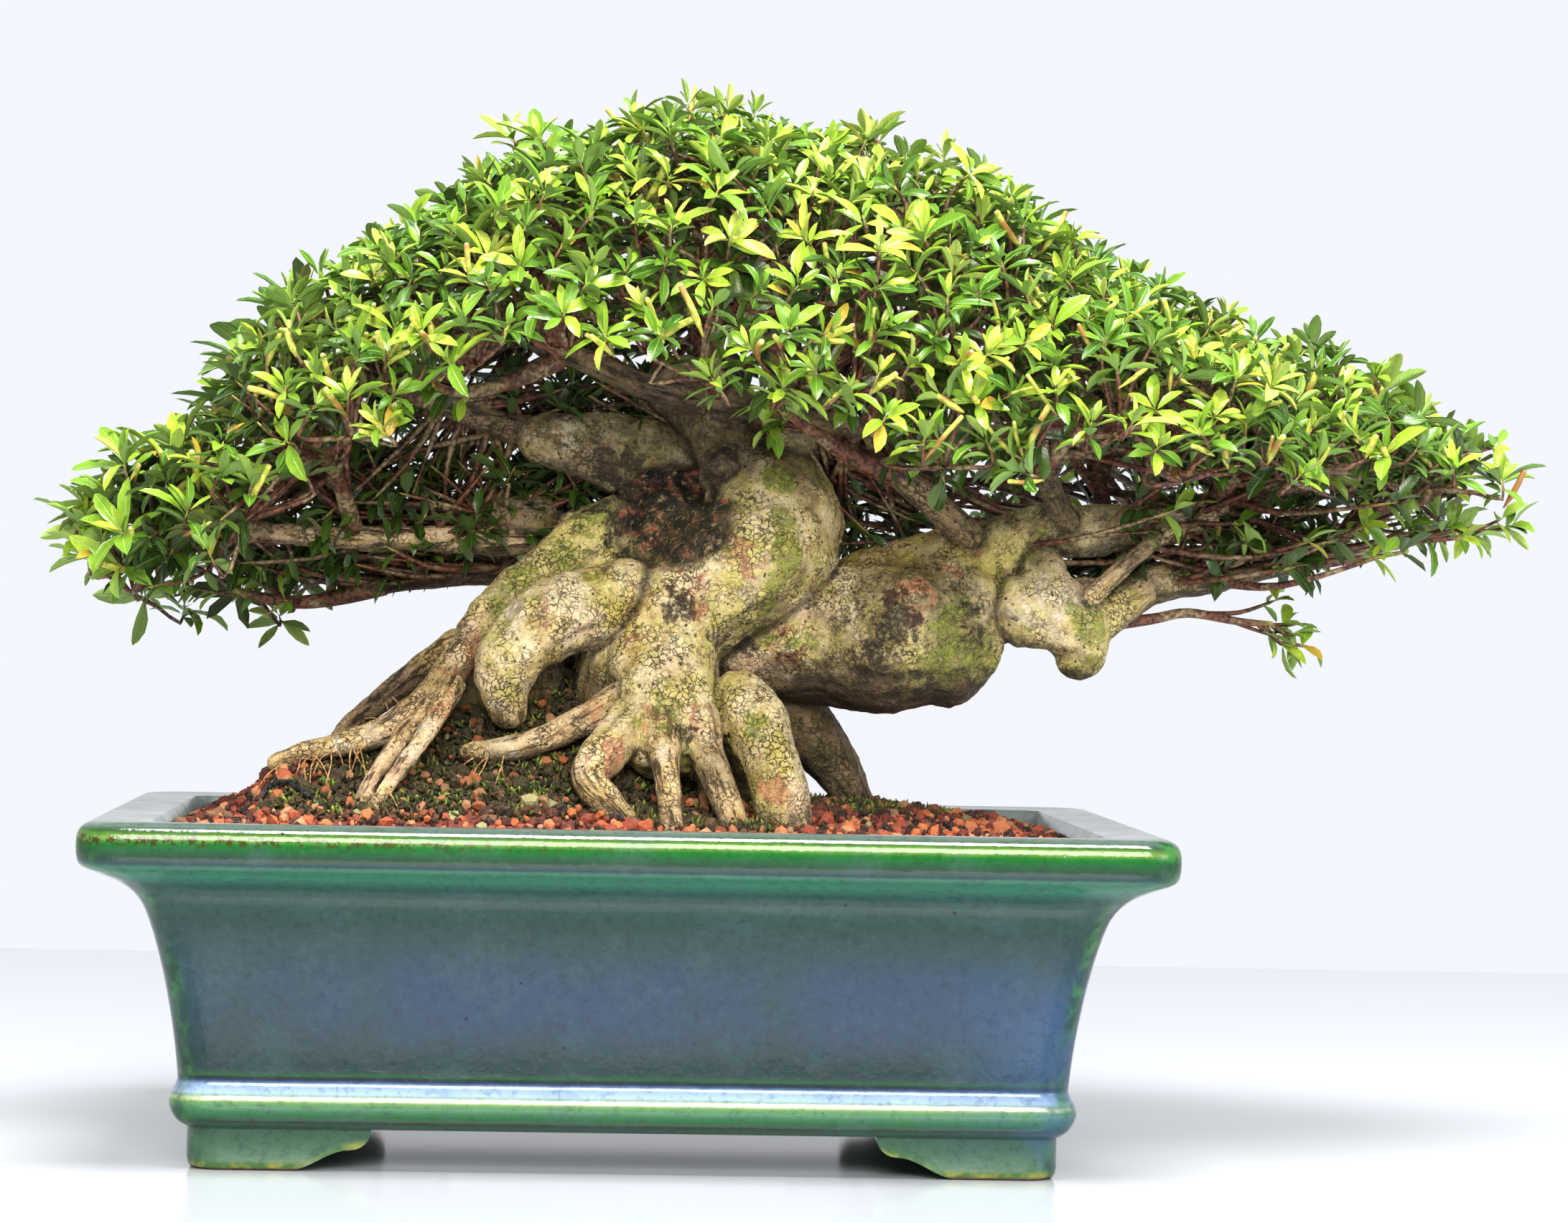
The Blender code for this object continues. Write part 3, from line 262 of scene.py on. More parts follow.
# Darkness of each limb's bark: mostly its own darker colour, and painted shade on the neck under the crown
# and on left_base under the elbow.
LIMB_DARKNESS = {"left_dark": 1.0, "left_pale": 0.15, "left_upper": 0.8, "left_burl": 0.9, "arch_left": 0.9,
                 "arch_right": 0.85, "upper_left": 0.3, "neck": 0.6, "red_branch_a": 0.5, "red_branch_b": 0.5,
                 "dark_root": 0.95, "right_riser": 0.4, "right_arm": 0.55, "dark_knob": 0.8, "left_base": 0.9,
                 "back_root_a": 0.3, "back_root_b": 0.3, "back_root_c": 0.5}

HOLLOW = (946.0, 719.0, 84.0, 70.0)     # middle and half sizes of the decayed hollow, in photo pixels

# Knots on the limbs: x, y, z, radius and height of the rim round each, in millimetres
KNOTS = [(52.0, -52.0, 172.0, 9.0, 2.2), (185.0, -16.0, 255.0, 8.0, 2.4), (203.0, -14.0, 264.0, 8.0, 2.0),
         (92.0, -31.0, 214.0, 8.0, 1.4), (34.0, -44.0, 250.0, 9.0, 1.2), (-40.0, -52.0, 205.0, 8.0, 1.4)]

# Leaves, in millimetres. A layer of whorls is: spacing, tries, room at the crown's tips, depth below
# its skin, and widest angle from its top. The second layer is the shaded one.
WHORL_LAYERS = [(14.0, 26000, 5.0, 13.0, 112.0), (17.08, 12000, 24.0, 27.0, 100.0)]
INNER_TWIGS = 860
CUT_SHOOTS = 150
CUT_FACE = 2.16     # share of a shoot's radius at its cut end, which tube_arrays draws at a quarter of it
SWEEPING_TWIGS = 28
SWEEP_LIMIT = 352.0
LIMB_END_TWIGS = 6

# Pockets under the leaves, filled with twigs whose leaves carry painted shade: the limbs they grow from,
# middle, half size, count.
POCKETS = [(("left_pale", "left_dark", "left_burl", "left_upper"), (-84.0, 26.0, 262.0),
            (48.0, 42.0, 20.0), 150),
           (("left_dark", "left_pale"), (-118.0, 30.0, 242.0), (44.0, 26.0, 11.0), 60),
           (("right_riser", "limb_top", "arch_right"), (96.0, 34.0, 266.0), (32.0, 40.0, 22.0), 80),
           (("left_burl", "upper_left"), (-24.0, 32.0, 267.0), (22.0, 24.0, 10.0), 45),
           (("limb_top", "right_arm"), (242.0, 6.0, 256.0), (48.0, 32.0, 15.0), 80),
           (("right_arm", "knob_bridge"), (196.0, 12.0, 241.0), (15.0, 12.0, 8.0), 22),
           (("upper_left", "left_upper", "neck"), (-26.0, 26.0, 306.0), (34.0, 30.0, 10.0), 55)]
LEAF_SHAPE = [(0.16, 0.46), (0.40, 0.94), (0.66, 0.96), (0.88, 0.52)]
LEAF_SHAPE_SIMPLE = [(0.32, 0.85), (0.74, 0.86)]
LEAF_THICK = 0.55
WANDER_SHIFTS = [Vector((0.0, 0.0, 0.0)), Vector((17.0, 0.0, 0.0)), Vector((0.0, 17.0, 0.0))]

# Glaze and painted highlight by height, as shares of the pot's height: foot, belt, wall, neck and lip
# The pale stops from 0.210 to 0.248, on the belt's upper slope, are painted highlight over its glaze.
GLAZE_AND_HIGHLIGHT_BANDS = [(0.0, "#4C6C4C"), (0.05, "#44664C"), (0.12, "#2E4C3A"), (0.145, "#0C2A18"),
               (0.160, "#15582A"), (0.185, "#36704A"), (0.200, "#668E58"), (0.210, "#C0CA9C"),
               (0.219, "#86A490"), (0.226, "#A6BCDA"), (0.248, "#8CA6CC"), (0.260, "#2C3C5C"),
               (0.268, "#0A1216"), (0.276, "#164A26"), (0.290, "#1F3434"), (0.40, "#24393F"),
               (0.55, "#283F47"), (0.70, "#273C3B"), (0.79, "#29443C"), (0.820, "#264A41"),
               (0.848, "#36765C"), (0.872, "#2A684C"), (0.888, "#16323A"), (0.902, "#06301A"),
               (0.925, "#0B4A20"), (0.945, "#1A6424"), (0.958, "#66863A"), (0.968, "#50762C"),
               (0.978, "#1A3C18"), (0.988, "#46584C"), (1.0, "#5E6C68")]
INNER_GLAZE = ("#4A5A58", "#8C9896")

# Pot and soil detail
CORNER_STEPS = 8
SIDE_PARTS = (56, 36)
SOIL_HALF_X = 178.0
SOIL_HALF_Y = 118.0
SOIL_LOW_SHARE_X = 0.93
SOIL_LOW_SHARE_Y = 0.89
GRAIN_TRIES = 60000
MOSS_TRIES = 60000
MOSS_PATCHES = [(-40.0, -62.0, 62.0, 30.0), (-30.0, 0.0, 80.0, 62.0), (30.0, -76.0, 44.0, 18.0),
                (-96.0, -50.0, 34.0, 26.0), (-98.0, -74.0, 46.0, 24.0), (70.0, 20.0, 60.0, 50.0)]

# Stage: floor edges x, x, y, y in metres, and lamps (name, place, aim, width, height, watts, colour)
FLOOR_EDGES = (-3.0, 3.0, -3.5, 1.0)
WORLD_FRONT = 0.25
WORLD_BACK = 0.85
LAMPS = [("key", (0.05, -2.3, 1.15), (0.0, 0.0, 0.2), 1.3, 0.9, 64.0, "#FFFDF6"),
         ("top", (0.15, -0.7, 2.0), (0.0, 0.0, 0.25), 1.0, 0.8, 84.0, "#FFFEFA"),
         ("fill", (2.0, -1.5, 0.8), (0.0, 0.0, 0.2), 1.0, 0.8, 10.0, "#F3F7FF")]


# Numbers and meshes

def to_frame(points):
    """Millimetres from the pot's middle to metres in the frame."""
    return np.asarray(points, float) * MM + np.array(ORIGIN)


def from_frame(points):
    """Metres in the frame to millimetres from the pot's middle."""
    return (np.asarray(points, float) - np.array(ORIGIN)) / MM


def value_noise(points, size, seed=0):
    """Smooth noise from -1 to 1 at many points, with lumps of the given size."""
    place = np.asarray(points, float) / size + seed * 17.31
    cell = np.floor(place).astype(np.int64)
    part = place - cell
    part = part * part * (3.0 - 2.0 * part)
    total = np.zeros(len(place))
    for dx in (0, 1):
        for dy in (0, 1):
            for dz in (0, 1):
                corner = (cell + (dx, dy, dz)) * HASH_PRIMES
                key = corner[:, 0] ^ corner[:, 1] ^ corner[:, 2]
                key = ((key ^ (key >> 13)) * 1274126177) & 0x7FFFFFFF
                value = ((key ^ (key >> 15)) & 0xFFFF) / 32767.5 - 1.0
                near = np.abs((1 - dx, 1 - dy, 1 - dz) - part)
                total += value * (near[:, 0] * near[:, 1] * near[:, 2])
    return total


def layered_noise(points, size, seed=0, layers=3):
    """Noise with finer lumps on coarse ones, from about -1 to 1."""
    total = np.zeros(len(points))
    for layer in range(layers):
        total += value_noise(points, size / 2 ** layer, seed + layer) / 2 ** layer
    return total / (2.0 - 0.5 ** (layers - 1))


def fade(low, high, values):
    """0 below low, 1 above high, and a smooth step between them."""
    t = np.clip((np.asarray(values, float) - low) / (high - low), 0.0, 1.0)
    return t * t * (3.0 - 2.0 * t)


def random_vector(rng, *spans):
    """A vector with each part drawn from its own span."""
    return Vector([rng.uniform(low, high) for low, high in spans])


def unit(vectors):
    """Vectors scaled to length 1."""
    return vectors / np.maximum(np.linalg.norm(vectors, axis=-1, keepdims=True), 1e-9)


def square_to(way):
    """An axis that isn't nearly parallel to a way."""
    return (0.0, 0.0, 1.0) if abs(way[2]) < 0.9 else (1.0, 0.0, 0.0)


def piece_from_arrays(name, points, faces, material, replaced=()):
    """A mesh piece from points in millimetres and faces that all have one number of corners."""
    points = to_frame(points).astype(np.float32)
    faces = np.asarray(faces, np.int32)
    count, corners = faces.shape
    mesh = bpy.data.meshes.new(name)
    mesh.vertices.add(len(points))
    mesh.vertices.foreach_set("co", points.ravel())
    mesh.loops.add(count * corners)
    mesh.loops.foreach_set("vertex_index", faces.ravel())
    mesh.polygons.add(count)
    mesh.polygons.foreach_set("loop_start", np.arange(0, count * corners, corners, dtype=np.int32))
    mesh.update(calc_edges=True)
    mesh.validate()
    mesh.shade_smooth()
    return place_piece(name, mesh, material, replaced)


def add_object(name, data):
    """A new object in the scene."""
    item = bpy.data.objects.new(name, data)
    bpy.context.scene.collection.objects.link(item)
    return item


def place_piece(name, mesh, material, replaced=()):
    """Put a mesh in the frame as a piece of the visual model, in place of the CAD nodes it replaces."""
    item = add_object(name, mesh)
    mesh.materials.clear()
    mesh.materials.append(material)
    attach(item, "root")
    if replaced:
        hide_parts(*replaced)
    return item


def store(mesh, name, values):
    """Keep one number for each corner point of a mesh, for its material to read."""
    layer = mesh.attributes.new(name, "FLOAT", "POINT")
    layer.data.foreach_set("value", np.asarray(values, np.float32))


def store_vectors(mesh, name, values):
    """Keep one vector for each corner point of a mesh."""
    layer = mesh.attributes.new(name, "FLOAT_VECTOR", "POINT")
    layer.data.foreach_set("vector", np.asarray(values, np.float32).ravel())


def mesh_points(mesh):
    """Points of a mesh as an array, in metres."""
    points = np.empty(len(mesh.vertices) * 3, np.float32)
    mesh.vertices.foreach_get("co", points)
    return points.reshape(-1, 3).astype(float)


def mesh_normals(mesh):
    """Which way a mesh faces at each of its points."""
    normals = np.empty(len(mesh.vertices) * 3, np.float32)
    mesh.vertex_normals.foreach_get("vector", normals)
    return normals.reshape(-1, 3).astype(float)


def set_points(mesh, points):
    """Move the points of a mesh, in metres."""
    mesh.vertices.foreach_set("co", np.asarray(points, np.float32).ravel())
    mesh.update()


def apply_modifiers(item):
    """Turn the modifiers of an object into its mesh."""
    graph = bpy.context.evaluated_depsgraph_get()
    mesh = bpy.data.meshes.new_from_object(item.evaluated_get(graph))
    item.modifiers.clear()
    item.data = mesh


def smooth_route(stations, steps):
    """Catmull-Rom points through stations of any dimension."""
    points = [stations[0]] + list(stations) + [stations[-1]]
    route = []
    for a, b, c, d in zip(points, points[1:], points[2:], points[3:]):
        for step in range(steps):
            t = step / steps
            route.append([0.5 * (2 * q + (r - p) * t + (2 * p - 5 * q + 4 * r - s) * t * t
                                 + (3 * q - p - 3 * r + s) * t ** 3) for p, q, r, s in zip(a, b, c, d)])
    route.append(list(stations[-1]))
    return np.array(route)


def tube_arrays(routes, sides):
    """Points and quads of many round tubes. Each route is an array of (x, y, z, radius)."""
    points, faces, marks, first = [], [], [], 0
    ring = np.arange(sides)
    turn = 2 * np.pi * ring / sides
    for route in routes:
        route = np.asarray(route, float)
        centre, radius = route[:, :3], route[:, 3]
        way = unit(np.gradient(centre, axis=0))
        side = np.cross(way[0], square_to(way[0]))
        count = len(route)
        for i in range(count):
            side = side - way[i] * side.dot(way[i])
            side = side / max(np.linalg.norm(side), 1e-9)
            up = np.cross(way[i], side)
            size = radius[i] * (0.25 if i in (0, count - 1) else 1.0)
            points.append(centre[i] + size * (np.outer(np.cos(turn), side) + np.outer(np.sin(turn), up)))
        rows = first + sides * np.arange(count - 1)[:, None]
        quads = np.stack([rows + ring, rows + (ring + 1) % sides, rows + sides + (ring + 1) % sides,
                          rows + sides + ring], axis=-1).reshape(-1, 4)
        faces.append(quads)
        marks.append(np.repeat(np.linspace(0.0, 1.0, count), sides))
        first += count * sides
    return np.concatenate(points), np.concatenate(faces), np.concatenate(marks)


def close_ends(mesh, sides, counts):
    """Cap both ends of every tube."""
    bm = bmesh.new()
    bm.from_mesh(mesh)
    bm.verts.ensure_lookup_table()
    first = 0
    for count in counts:
        bm.faces.new([bm.verts[first + i] for i in reversed(range(sides))])
        last = first + sides * (count - 1)
        bm.faces.new([bm.verts[last + i] for i in range(sides)])
        first += sides * count
    for face in bm.faces:
        face.smooth = True
    bm.to_mesh(mesh)
    bm.free()


def tube_piece(name, routes, sides, material):
    """Many tubes as one piece. Each point knows how far along its tube it lies."""
    points, faces, marks = tube_arrays(routes, sides)
    item = piece_from_arrays(name, points, faces, material)
    store(item.data, "along", marks)
    close_ends(item.data, sides, [len(route) for route in routes])


# Shader helpers

class Paint:
    """A material whose nodes are added one by one."""

    def __init__(self, name):
        self.material = bpy.data.materials.new(name)
        self.material.use_nodes = True
        self.nodes = self.material.node_tree.nodes
        self.links = self.material.node_tree.links
        self.shader = self.nodes["Principled BSDF"]

    def node(self, kind, **settings):
        """A new node with its settings."""
        node = self.nodes.new("ShaderNode" + kind)
        for key, value in settings.items():
            setattr(node, key, value)
        return node

    def feed(self, socket, value):
        """Link a value that is a socket, or set one that is a number."""
        if isinstance(value, bpy.types.NodeSocket):
            self.links.new(value, socket)
        elif value is not None:
            socket.default_value = value

    def place(self):
        """Position in the frame, in metres."""
        return self.node("NewGeometry").outputs["Position"]

    def mark(self, name, output="Fac"):
        """A value stored on the mesh."""
        return self.node("Attribute", attribute_name=name).outputs[output]

    def noise(self, scale, detail=3.0, where=None, roughness=0.55, output="Fac"):
        """Soft noise at a place, with this many lumps to a metre."""
        node = self.node("TexNoise")
        self.feed(node.inputs["Vector"], self.place() if where is None else where)
        node.inputs["Scale"].default_value = scale
        node.inputs["Detail"].default_value = detail
        node.inputs["Roughness"].default_value = roughness
        return node.outputs[output]

    def cells(self, scale, feature="F1", where=None, output="Distance"):
        """Distance to the nearest of many scattered points, or to the edge between two of them."""
        node = self.node("TexVoronoi", feature=feature)
        self.feed(node.inputs["Vector"], self.place() if where is None else where)
        node.inputs["Scale"].default_value = scale
        return node.outputs[output]

    def ramp(self, value, *stops):
        """Colour or grey by value: stops are (place, colour) or (place, grey)."""
        node = self.node("ValToRGB")
        self.feed(node.inputs["Fac"], value)
        bar = node.color_ramp.elements
        while len(bar) < len(stops):
            bar.new(0.5)
        for element, (place, colour) in zip(bar, stops):
            element.position = place
            element.color = (*hue(colour), 1.0) if isinstance(colour, str) else (colour, colour, colour, 1.0)
        return node.outputs["Color"]

    def mix(self, share, first, second):
        """First colour where share is 0, second where it is 1."""
        node = self.node("Mix", data_type="RGBA")
        self.feed(node.inputs["Factor"], share)
        colours = [s for s in node.inputs if s.type == "RGBA"]
        for socket, value in zip(colours, (first, second)):
            self.feed(socket, (*hue(value), 1.0) if isinstance(value, str) else value)
        return [s for s in node.outputs if s.type == "RGBA"][0]

    def maths(self, operation, first, second=None):
        node = self.node("Math", operation=operation)
        self.feed(node.inputs[0], first)
        self.feed(node.inputs[1], second)
        return node.outputs[0]

    def plus(self, first, second):
        return self.maths("ADD", first, second)

    def minus(self, first, second):
        return self.maths("SUBTRACT", first, second)

    def times(self, first, second):
        return self.maths("MULTIPLY", first, second)

    def most(self, first, second):
        return self.maths("MAXIMUM", first, second)

    def size(self, value):
        return self.maths("ABSOLUTE", value)

    def span(self, value, low, high, to_low=0.0, to_high=1.0):
        """Value from low to high becomes to_low to to_high, with soft ends."""
        node = self.node("MapRange", interpolation_type="SMOOTHSTEP")
        self.feed(node.inputs["Value"], value)
        for name, number in (("From Min", low), ("From Max", high), ("To Min", to_low), ("To Max", to_high)):
            node.inputs[name].default_value = number
        return node.outputs["Result"]

    def shift(self, vector, offset, strength):
        """Vector plus a centred colour times strength."""
        centred = self.node("VectorMath", operation="SUBTRACT")
        self.feed(centred.inputs[0], offset)
        centred.inputs[1].default_value = (0.5, 0.5, 0.5)
        node = self.node("VectorMath", operation="MULTIPLY_ADD")
        self.feed(node.inputs[0], centred.outputs[0])
        node.inputs[1].default_value = (strength,) * 3
        self.feed(node.inputs[2], vector)
        return node.outputs[0]

    def bump(self, height, distance, strength=1.0):
        """Fine relief, in metres."""
        node = self.node("Bump")
        node.inputs["Strength"].default_value = strength
        node.inputs["Distance"].default_value = distance
        self.feed(node.inputs["Height"], height)
        self.feed(self.shader.inputs["Normal"], node.outputs["Normal"])

    def set(self, **values):
        """Inputs of the shader by name."""
        for name, value in values.items():
            socket = self.shader.inputs[name.replace("_", " ")]
            self.feed(socket, (*hue(value), 1.0) if isinstance(value, str) else value)


def hue(text):
    """Linear colour from a web colour."""
    parts = [int(text[i:i + 2], 16) / 255.0 for i in (1, 3, 5)]
    return tuple(p / 12.92 if p <= 0.04045 else ((p + 0.055) / 1.055) ** 2.4 for p in parts)


# Camera, first of all, because the marks on the trunk are placed through it

def camera_axes():
    """Rotation of the camera: yaw to the right, level, then a small roll."""
    return (Matrix.Rotation(-CAMERA_YAW, 3, "Z") @ Matrix.Rotation(math.pi / 2, 3, "X")
            @ Matrix.Rotation(CAMERA_ROLL, 3, "Z"))


def make_camera():
    """The photo's camera: place, turn and lens."""
    data = bpy.data.cameras.new("camera")
    data.sensor_fit = "HORIZONTAL"
    data.sensor_width = 36.0
    data.lens = CAMERA_FOCUS / PHOTO_WIDTH * 36.0
    camera = add_object("camera", data)
    camera.matrix_world = Matrix.Translation(ORIGIN + CAMERA_PLACE) @ camera_axes().to_4x4()
    bpy.context.scene.camera = camera


def photo_ray(px, py):
    """Start and direction, in metres in the frame, of the line of sight through a photo pixel."""
    local = Vector((px - PHOTO_WIDTH / 2, PHOTO_HEIGHT / 2 - py, -CAMERA_FOCUS))
    return ORIGIN + CAMERA_PLACE, (camera_axes() @ local).normalized()


def photo_place(points):
    """Photo pixels of points in millimetres from the pot's middle, as columns x and y."""
    local = (np.asarray(points, float) * MM - np.array(CAMERA_PLACE)) @ np.array(camera_axes())
    scale = -CAMERA_FOCUS / local[:, 2]
    return np.stack([PHOTO_WIDTH / 2 + local[:, 0] * scale, PHOTO_HEIGHT / 2 - local[:, 1] * scale],
                    axis=1)


# Trunk

BURL_GROUP = [("left_burl" in names) for names in CLEFT_GROUPS].index(True)


def limb_samples():
    """Points along every thick limb: place, radius, way, side, length so far, group, darkness."""
    groups = {name: number for number, names in enumerate(CLEFT_GROUPS) for name in names}
    rows = []
    for name, stations in THICK_LIMBS.items():
        route = smooth_route(stations, 8)
        way = unit(np.gradient(route[:, :3], axis=0))
        travelled = np.concatenate([[0.0], np.cumsum(np.linalg.norm(np.diff(route[:, :3], axis=0), axis=1))])
        side = np.cross(way[0], square_to(way[0]))
        dark = LIMB_DARKNESS.get(name, 0.0)
        for point, direction, length in zip(route, way, travelled):
            side = side - direction * side.dot(direction)
            side = side / np.linalg.norm(side)
            rows.append([*point, *direction, *side, length, groups.get(name, 0), dark])
    return np.array(rows)


def nearest_limb(points, samples):
    """For each point: nearest sample, and how much farther the next group of limbs is."""
    group_ids = samples[:, 11].astype(int)
    nearest = np.empty(len(points), int)
    margin = np.empty(len(points))
    for start in range(0, len(points), 8000):
        part = points[start:start + 8000]
        reach = np.linalg.norm(part[:, None, :] - samples[None, :, :3], axis=2) - samples[None, :, 3]
        best = np.argmin(reach, axis=1)
        first = reach[np.arange(len(part)), best]
        others = np.where(group_ids[None, :] == group_ids[best][:, None], 1e3, reach)
        nearest[start:start + 8000] = best
        margin[start:start + 8000] = others.min(axis=1) - first
    return nearest, margin


def trunk_skin():
    """Every thick limb as one closed skin, melted together."""
    bm = bmesh.new()
    for stations in THICK_LIMBS.values():
        route = smooth_route(stations, 5)
        way = unit(np.gradient(route[:, :3], axis=0))
        ends = []
        for station, out in ((route[0], -way[0]), (route[-1], way[-1])):
            for reach, share in END_ROUNDING:
                ends.append(np.append(station[:3] + out * station[3] * reach, station[3] * share))
        route = np.vstack([ends[1], ends[0], route, ends[2], ends[3]])
        points, faces, _ = tube_arrays([route], LIMB_SIDES)
        verts = [bm.verts.new(point) for point in to_frame(points)]
        for face in faces:
            bm.faces.new([verts[i] for i in face])
        bm.faces.new(list(reversed(verts[:LIMB_SIDES])))
        bm.faces.new(verts[-LIMB_SIDES:])
    bmesh.ops.recalc_face_normals(bm, faces=bm.faces)
    mesh = bpy.data.meshes.new("trunk_skin")
    bm.to_mesh(mesh)
    bm.free()
    return mesh


def hollow_share(points, normals):
    """1 inside the decayed hollow at the front of the left limb, 0 outside it."""
    pixels = photo_place(points)
    wobble = layered_noise(points, 14.0, 41) * 0.22
    shape = np.hypot((pixels[:, 0] - HOLLOW[0]) / HOLLOW[2], (pixels[:, 1] - HOLLOW[1]) / HOLLOW[3]) + wobble
    return fade(1.15, 0.80, shape) * (points[:, 1] < 22.0) * fade(0.35, 0.0, normals[:, 1])


def shape_bark(mesh, samples):
    """Swellings, ridges along the limbs, clefts between them, the hollow, and fine relief."""
    points = from_frame(mesh_points(mesh))
    normals = mesh_normals(mesh)
    nearest, margin = nearest_limb(points, samples)
    row = samples[nearest]
    away = points - row[:, :3]
    way, side = row[:, 4:7], row[:, 7:10]
    along = row[:, 10] + (away * way).sum(axis=1)
    across = (away * np.cross(way, side)).sum(axis=1)
    local = np.stack([(away * side).sum(axis=1), across, along / 5.0], axis=1)
    size = fade(3.0, 14.0, row[:, 3])
    relief = value_noise(points, 21.0, 1) * 1.5 * size + value_noise(points, 9.0, 2) * 0.8 * size
    ridges = layered_noise(local, 8.0, 3, 2)
    relief += (0.5 - np.abs(ridges)) * 1.5 * (0.25 + 0.75 * size)
    rough = layered_noise(points, 5.0, 7, 2)
    relief += rough * (0.55 + 0.4 * size)
    cleft = np.exp(-(margin / 2.2) ** 2) * size
    relief -= cleft * 2.6
    hollow = hollow_share(points, normals)
    lumps = 2.6 * layered_noise(points, 9.0, 13, 2) - 2.4 * np.abs(value_noise(points, 6.0, 17))
    relief -= hollow * (5.0 + lumps)
    burl = row[:, 11] == BURL_GROUP
    relief += burl * 2.4 * layered_noise(points, 8.0, 19, 2)
    # Low places of the bark's relief, which the material darkens as painted shade.
    store(mesh, "cavity", fade(-0.05, -0.6, rough * 0.8 + 0.5 * (0.35 - np.abs(ridges))))
    for x, y, z, radius, lift in KNOTS:
        reach = np.linalg.norm(points - np.array((x, y, z)), axis=1) / radius
        relief += lift * (np.exp(-(reach / 0.9) ** 2) - 1.25 * np.exp(-(reach / 0.38) ** 2))
    points = points + normals * relief[:, None]
    set_points(mesh, to_frame(points))
    # How near each point lies to a cleft between limbs, which the material darkens as painted shade.
    store(mesh, "cleft", np.exp(-(margin / 1.25) ** 2) * size)
    store(mesh, "hollow", hollow)
    store(mesh, "thin", fade(12.0, 6.0, row[:, 3]))
    above = points[:, 2] - soil_height(points[:, 0], points[:, 1])
    earth = fade(11.0, 2.0, above + 7.0 * value_noise(points, 8.0, 15))
    # Painted shade under the elbow's arch, joined with each limb's darkness and darker bark near the soil.
    arch = fade(-44.0, -26.0, points[:, 1]) * fade(204.0, 186.0, points[:, 2])
    shaded = arch * fade(16.0, 0.0, points[:, 1])
    store(mesh, "dark_limb_and_shade", np.maximum(row[:, 12], np.maximum(0.6 * earth, 0.9 * shaded)))
    store_vectors(mesh, "grain", local * MM)


def trunk_tree(mesh):
    """Search tree of a mesh, to find where a line of sight meets it."""
    vertices = [tuple(point) for point in mesh_points(mesh)]
    return BVHTree.FromPolygons(vertices, [tuple(face.vertices) for face in mesh.polygons])


def mark_masks(points, tree, seed):
    """Share of each kind of mark, painted shade among them, at each point, from marks seen in the photo and
    noise elsewhere.
    """
    masks = {}
    for kind, spots in TRUNK_MARKS.items():
        share = np.zeros(len(points))
        for px, py, radius, strength in spots:
            start, direction = photo_ray(px, py)
            hit = tree.ray_cast(start, direction)[0]
            if hit is None:
                continue
            centre = from_frame(np.array(hit))
            reach = np.linalg.norm(points - centre, axis=1) / (radius / 3.3)
            wobble = layered_noise(points, 16.0, seed, 4) * 1.1
            share = np.maximum(share, strength * fade(1.9, 0.1, reach + wobble))
        masks[kind] = share
        seed += 5
    return masks


def make_trunk(material):
    """The trunk with its roots and limbs: one melted skin, shaped into bark."""
    item = add_object("trunk_shape", trunk_skin())
    remesh = item.modifiers.new("skin", "REMESH")
    remesh.mode = "VOXEL"
    remesh.voxel_size = TRUNK_VOXEL * MM
    smooth = item.modifiers.new("soften", "SMOOTH")
    smooth.factor = 0.5
    smooth.iterations = 5
    apply_modifiers(item)
    shape_bark(item.data, limb_samples())
    triangles = sum(len(face.vertices) - 2 for face in item.data.polygons)
    if triangles > TRUNK_TRIANGLES:
        decimate = item.modifiers.new("thin_out", "DECIMATE")
        decimate.ratio = TRUNK_TRIANGLES / triangles
        apply_modifiers(item)
    mesh = item.data
    bpy.data.objects.remove(item)
    mesh.shade_smooth()
    points = from_frame(mesh_points(mesh))
    normals = mesh_normals(mesh)
    for kind, share in mark_masks(points, trunk_tree(mesh), 61).items():
        store(mesh, kind, share)
    store(mesh, "faces_up", normals[:, 2])
    store(mesh, "seen", fade(40.0, 0.0, points[:, 1]))
    place_piece("trunk_bark", mesh, material, ["trunk"])


# Crown

def crown_section(x):
    """Top, lower edge and half depth of the crown at a place along its length."""
    for (x0, top0, low0), (x1, top1, low1) in zip(CROWN_OUTLINE, CROWN_OUTLINE[1:]):
        if x <= x1:
            t = (x - x0) / (x1 - x0)
            break
    top = top0 + (top1 - top0) * t
    low = low0 + (low1 - low0) * t
    reach = CROWN_MIDDLE - CROWN_OUTLINE[0][0] if x < CROWN_MIDDLE else CROWN_OUTLINE[-1][0] - CROWN_MIDDLE
    along = min(1.0, abs(x - CROWN_MIDDLE) / reach)
    return top, low, CROWN_HALF_DEPTH * (1.0 - along ** 2.2) ** 0.6


def crown_point(x, angle):
    """A place on the crown's surface: angle 0 is the top, +-90 degrees the back and front edges."""
    top, low, deep = crown_section(x)
    y = deep * math.sin(angle)
    lift = math.copysign(abs(math.cos(angle)) ** 0.8, math.cos(angle))
    z = low + (top - low) * lift if lift > 0 else low + 0.35 * (top - low) * lift
    return Vector((x, y, z))


def crown_outward(place):
    """Which way the crown faces at a place: away from the spine that runs through its foot."""
    top, low, deep = crown_section(min(max(place.x, CROWN_OUTLINE[0][0]), CROWN_OUTLINE[-1][0]))
    across = place.y / max(deep, 1.0) ** 2
    along = (place.x - CROWN_MIDDLE) / 300.0 ** 2
    upward = max(place.z - low, 4.0) / max(top - low, 20.0) ** 2
    return Vector((along, across, upward)).normalized()


def nearest_spray(site):
    """Name of the spray whose core is nearest to a place."""
    return min(SPRAYS, key=lambda name: (Vector(SPRAYS[name][1]) - site).length)


